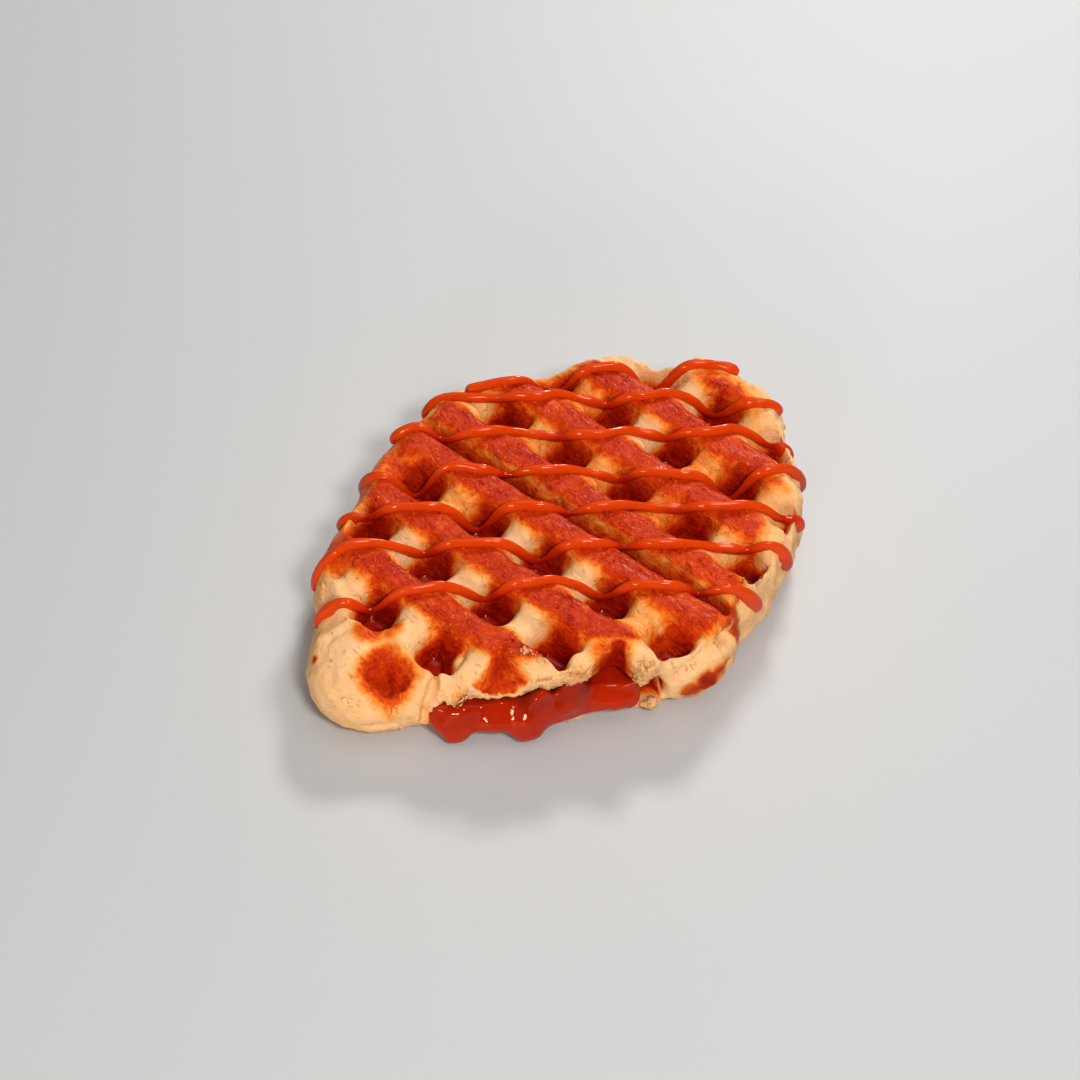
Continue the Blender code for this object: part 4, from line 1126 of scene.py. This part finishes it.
def scatter_tree(name, mask, flat, jag, glaze, finish):
    """A tree that strews small uneven scales over a surface, thicker where a mask is high."""
    tree, source, named = mesh_tree(name, {
        "Density": ("Float", 1.0), "Smallest": ("Float", 0.1 * MM), "Largest": ("Float", 1.0 * MM),
        "Seed": ("Int", SEED)})
    masked = node(tree, "GeometryNodeInputNamedAttribute", {"Name": mask}, data_type="FLOAT")
    places = node(tree, "GeometryNodeDistributePointsOnFaces", {
        "Mesh": source["Geometry"], "Seed": source["Seed"],
        "Density": calc(tree, "MULTIPLY", masked["Attribute"], source["Density"])})
    ball = node(tree, "GeometryNodeMeshIcoSphere", {"Radius": 1.0, "Subdivisions": 2})
    scale = node(tree, "GeometryNodeTransform", {"Geometry": ball["Mesh"], "Scale": flat})
    size = node(tree, "FunctionNodeRandomValue", {
        2: source["Smallest"], 3: source["Largest"], "Seed": source["Seed"]}, data_type="FLOAT")
    lean = node(tree, "FunctionNodeRandomValue", {
        0: (-0.5, -0.5, -math.pi), 1: (0.5, 0.5, math.pi), "Seed": source["Seed"]}, data_type="FLOAT_VECTOR")
    turn = node(tree, "FunctionNodeEulerToRotation", {"Euler": lean[0]})
    turned = node(tree, "FunctionNodeRotateRotation", {
        "Rotation": places["Rotation"], "Rotate By": turn["Rotation"]}, rotation_space="LOCAL")
    strewn = node(tree, "GeometryNodeInstanceOnPoints", {
        "Points": places["Points"], "Instance": scale["Geometry"],
        "Rotation": turned["Rotation"], "Scale": size[1]})
    realize = node(tree, "GeometryNodeRealizeInstances", {"Geometry": strewn["Instances"]})
    where = node(tree, "GeometryNodeInputPosition")
    rough = node(tree, "ShaderNodeTexNoise", {"Vector": where["Position"], "Scale": 1600.0})
    centred = node(tree, "ShaderNodeVectorMath", {0: rough["Color"], 1: (0.5, 0.5, 0.5)}, operation="SUBTRACT")
    pushed = node(tree, "ShaderNodeVectorMath", {0: centred["Vector"], "Scale": jag * MM}, operation="SCALE")
    move = node(tree, "GeometryNodeSetPosition", {
        "Geometry": realize["Geometry"], "Offset": pushed["Vector"]})
    toned = node(tree, "GeometryNodeStoreNamedAttribute", {
        "Geometry": move["Geometry"], "Name": "glaze", "Value": glaze}, data_type="FLOAT", domain="POINT")
    end_tree(tree, toned["Geometry"], finish)
    return tree, named


def strew(dough, name, finish, mask, flat, jag, glaze, values):
    """Small scales over the dough, as a piece of its own."""
    ground = put(name + "_ground", dough.data.copy())
    tree, named = scatter_tree(name + " scatter", mask, flat, jag, glaze, finish)
    return plain_mesh(ground, tree, {named[key]: value for key, value in values.items()}, name, finish)


def new_finish(name):
    """A material, with its tree and its shader."""
    made = bpy.data.materials.new(name)
    made.use_nodes = True
    return made, made.node_tree, made.node_tree.nodes["Principled BSDF"]


def grain_group():
    """Fibres of laminated dough: noise drawn out along one way, with finer crumbs and thin creases."""
    tree = bpy.data.node_groups.new("Dough grain", "ShaderNodeTree")
    for name, value in (("Fibre size", 0.0006), ("Fibre length", 0.006), ("Crumb size", 0.0005)):
        add_socket(tree, name, "Float", value)
    for name in ("Fibres", "Crumbs", "Creases"):
        add_socket(tree, name, "Float", way="OUTPUT")
    source = node(tree, "NodeGroupInput")
    place = node(tree, "ShaderNodeTexCoord")["Object"]
    across, along, crumb = (
        calc(tree, "DIVIDE", 1.0, source[name]) for name in ("Fibre size", "Fibre length", "Crumb size")
    )
    sizes = node(tree, "ShaderNodeCombineXYZ", {"X": across, "Y": along, "Z": across})
    turn = node(tree, "ShaderNodeMapping", {"Vector": place, "Rotation": (0.0, 0.0, math.radians(14.0))})
    drawn = node(tree, "ShaderNodeVectorMath", {0: turn["Vector"], 1: sizes["Vector"]},
                 operation="MULTIPLY")["Vector"]
    slow = texture(tree, drawn, 0.32, detail=1.0, distortion=0.8)
    thin = rescale(tree, calc(tree, "ABSOLUTE", swing(tree, slow)), 0.0, 0.022, 1.0, 0.0,
                   interpolation_type="SMOOTHSTEP")
    some = rescale(tree, texture(tree, place, 420.0, detail=1.0), 0.54, 0.68)
    node(tree, "NodeGroupOutput", {
        "Fibres": texture(tree, drawn, 1.0, detail=3.0, roughness=0.6, distortion=1.1),
        "Crumbs": texture(tree, place, crumb), "Creases": calc(tree, "MULTIPLY", thin, some)})
    return tree


def dough_finish(grain):
    """Laminated dough, pale where it is bare, and under a wet red caramel glaze where it was poured."""
    made, tree, shader = new_finish("Glazed dough")
    glaze, pool, torn, brown = (attribute(tree, name) for name in ("glaze", "pool", "torn", "brown"))
    grained = node(tree, "ShaderNodeGroup", {
        "Fibre size": 0.0007, "Fibre length": 0.0042, "Crumb size": 0.0009}, node_tree=grain)
    fibres, crumbs, creases = (grained[name] for name in ("Fibres", "Crumbs", "Creases"))
    place = node(tree, "ShaderNodeTexCoord")["Object"]
    blotches = texture(tree, place, 330.0, detail=4.0, roughness=0.62, distortion=1.2)

    uneven = total(tree, (swing(tree, blotches), 0.62), (swing(tree, fibres), 0.34), (swing(tree, crumbs), 0.20))
    uneven = calc(tree, "MULTIPLY", uneven, rescale(tree, glaze, 0.06, 0.36, 0.34, 1.0))
    speckled = calc(tree, "ADD", glaze, uneven)
    colour = tinted(tree, pool, ramp(tree, speckled, GLAZE_COLOURS), POOL_COLOUR, "MIX")
    # The hairline creases darken the bare dough: painted shade.
    shaded_bare_creases = calc(tree, "MULTIPLY", creases, calc(tree, "SUBTRACT", 1.0, glaze))
    colour = tinted(tree, shaded_bare_creases, colour, CREASE_SHADE_TINT)

    glints = calc(tree, "MULTIPLY", rescale(tree, crumbs, 0.56, 0.66, 0.0, 0.16), glaze)
    rough = calc(tree, "SUBTRACT", rescale(tree, glaze, 0.15, 0.7, 0.62, 0.32), glints)

    relief = total(tree, (crumbs, 0.4), (fibres, 0.6), (blotches, 0.9), (creases, -0.9))
    relief = calc(tree, "MULTIPLY", relief, calc(tree, "SUBTRACT", 1.0, pool))
    relief = calc(tree, "MULTIPLY", relief, calc(tree, "MAXIMUM", rescale(tree, glaze, 0.1, 0.7, 0.3, 1.0), torn))
    stretched = node(tree, "ShaderNodeMapping", {"Vector": place, "Scale": (110.0, 110.0, 1150.0)})
    layers = texture(tree, stretched["Vector"], 1.0, detail=3.0, distortion=0.5)
    layered = calc(tree, "MULTIPLY", layers, rescale(tree, glaze, 0.1, 0.4, 0.55, 0.0))

    feed(tree, shader, {
        "Base Color": tinted(tree, brown, colour, BROWN_TINT),
        "Roughness": node(tree, "ShaderNodeMix", {"Factor": pool, "A": rough, "B": 0.07})["Result"],
        "Normal": bumped(tree, calc(tree, "ADD", relief, layered), 0.9, 0.0007),
        "Coat Weight": calc(tree, "MAXIMUM", rescale(tree, speckled, 0.55, 0.85, 0.0, 0.035),
                            calc(tree, "MULTIPLY", pool, 0.5)),
        "Coat Roughness": 0.1,
        "Specular IOR Level": 0.18,
        "Specular Tint": GLAZE_SHINE,
        "Subsurface Weight": 0.12,
        "Subsurface Radius": (1.0, 0.35, 0.12),
        "Subsurface Scale": 0.0016,
    })
    return made


def caramel_finish(name, colours):
    """Glossy caramel in the colour of its tone, deeper towards its edges, with slow streaks through it."""
    made, tree, shader = new_finish(name)
    streaks = texture(tree, node(tree, "ShaderNodeTexCoord")["Object"], 260.0, detail=3.0)
    tone = calc(tree, "MULTIPLY_ADD", swing(tree, streaks), 0.7, attribute(tree, "tone"))
    facing = node(tree, "ShaderNodeLayerWeight", {"Blend": 0.4})["Facing"]
    edges = rescale(tree, facing, 0.25, 0.9)
    feed(tree, shader, {
        "Base Color": tinted(tree, edges, ramp(tree, tone, colours), DEEP_CARAMEL_TINT),
        "Roughness": 0.05,
        "Normal": bumped(tree, streaks, 0.15, 0.0005),
        "Specular IOR Level": 0.5,
        "Specular Tint": WARM_SHINE,
        "Subsurface Weight": 0.25,
        "Subsurface Radius": (1.0, 0.22, 0.06),
        "Subsurface Scale": 0.0022,
    })
    return made


def make_camera():
    """The camera, turned to its bearing, tilted down and rolled, and backed away from where it looks."""
    turn = Matrix.Identity(4)
    for degrees, axis in zip(CAMERA_TURNS, "ZXZ"):
        turn = turn @ Matrix.Rotation(math.radians(degrees), 4, axis)
    data = bpy.data.cameras.new("Camera")
    data.lens = CAMERA_LENS
    data.sensor_width = CAMERA_SENSOR
    data.clip_start = 0.01
    made = put("Camera", data)
    place = Vector(CAMERA_AIM) + turn @ Vector((0.0, 0.0, CAMERA_DISTANCE))
    made.matrix_world = Matrix.Translation(place * MM) @ turn
    bpy.context.scene.camera = made


def make_floor():
    """A plain pale floor, just under the croffle."""
    mesh = bpy.data.meshes.new("studio_floor")
    corners = [(x * FLOOR_HALF, y * FLOOR_HALF, 0.0) for x, y in ((-1, -1), (1, -1), (1, 1), (-1, 1))]
    mesh.from_pydata(corners, [], [(0, 1, 2, 3)])
    finish, tree, shader = new_finish("Pale floor")
    feed(tree, shader, {"Base Color": FLOOR_COLOUR, "Roughness": 0.6})
    mesh.materials.append(finish)
    made = put("studio_floor", mesh)
    made.location.z = -FLOOR_DROP


def make_lights():
    """Soft studio lights that face the croffle, in dim plain surroundings."""
    world = bpy.data.worlds.new("Studio")
    bpy.context.scene.world = world
    world.use_nodes = True
    feed(world.node_tree, world.node_tree.nodes["Background"], {"Color": WORLD_COLOUR, "Strength": WORLD_STRENGTH})
    for name, size, power, azimuth, elevation, distance in LIGHTS:
        data = bpy.data.lights.new(name, "AREA")
        data.shape = "RECTANGLE"
        data.size, data.size_y = size
        data.energy = power
        made = put(name, data)
        a, e = math.radians(azimuth), math.radians(elevation)
        back = Vector((math.sin(a) * math.cos(e), -math.cos(a) * math.cos(e), math.sin(e)))
        made.location = back * distance
        made.rotation_euler = back.to_track_quat("Z", "Y").to_euler()
    bpy.context.scene.view_settings.view_transform = "Standard"
    bpy.context.scene.view_settings.look = "None"


def main():
    """Makes the finishes, the pieces and the studio."""
    dough = dough_finish(grain_group())
    drizzle_caramel = caramel_finish("Drizzled caramel", DRIZZLE_COLOURS)
    filling_caramel = caramel_finish("Filling caramel", FILLING_COLOURS)

    points, faces, ring_start, base_start = dough_shape()
    dent_lobe_pocket(points)
    points, masks = finish_dough(points, faces, ring_start, base_start)
    pastry = new_piece("waffled_dough", points, [], faces)
    pastry.data.materials.append(dough)
    for name, values in masks.items():
        set_attribute(pastry, name, values)
    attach(pastry, "root")
    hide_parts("pastry")

    flakes = strew(
        pastry, "torn_flakes", dough, mask="torn", flat=(1.0, 0.55, 0.16), jag=0.35, glaze=0.15,
        values={"Density": 1.5e6, "Smallest": 0.2 * MM, "Largest": 0.8 * MM, "Seed": SEED})
    # Tiny blisters on the ridge tops, lighter orange than the glaze round them: partly real blisters, partly painted
    # glints.
    flecks = strew(
        pastry, "crust_flecks_and_glints", dough, mask="flecks", flat=(1.0, 0.6, 0.20), jag=0.16, glaze=0.54,
        values={"Density": 0.30e6, "Smallest": 0.08 * MM, "Largest": 0.42 * MM, "Seed": SEED + 1})
    for piece in (flakes, flecks):
        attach(piece, "root")

    drizzle = make_drizzle(drizzle_caramel)
    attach(drizzle, "root")

    filling = make_filling(filling_caramel)
    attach(filling, "root")
    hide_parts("filling")

    make_floor()
    make_camera()
    make_lights()


main()
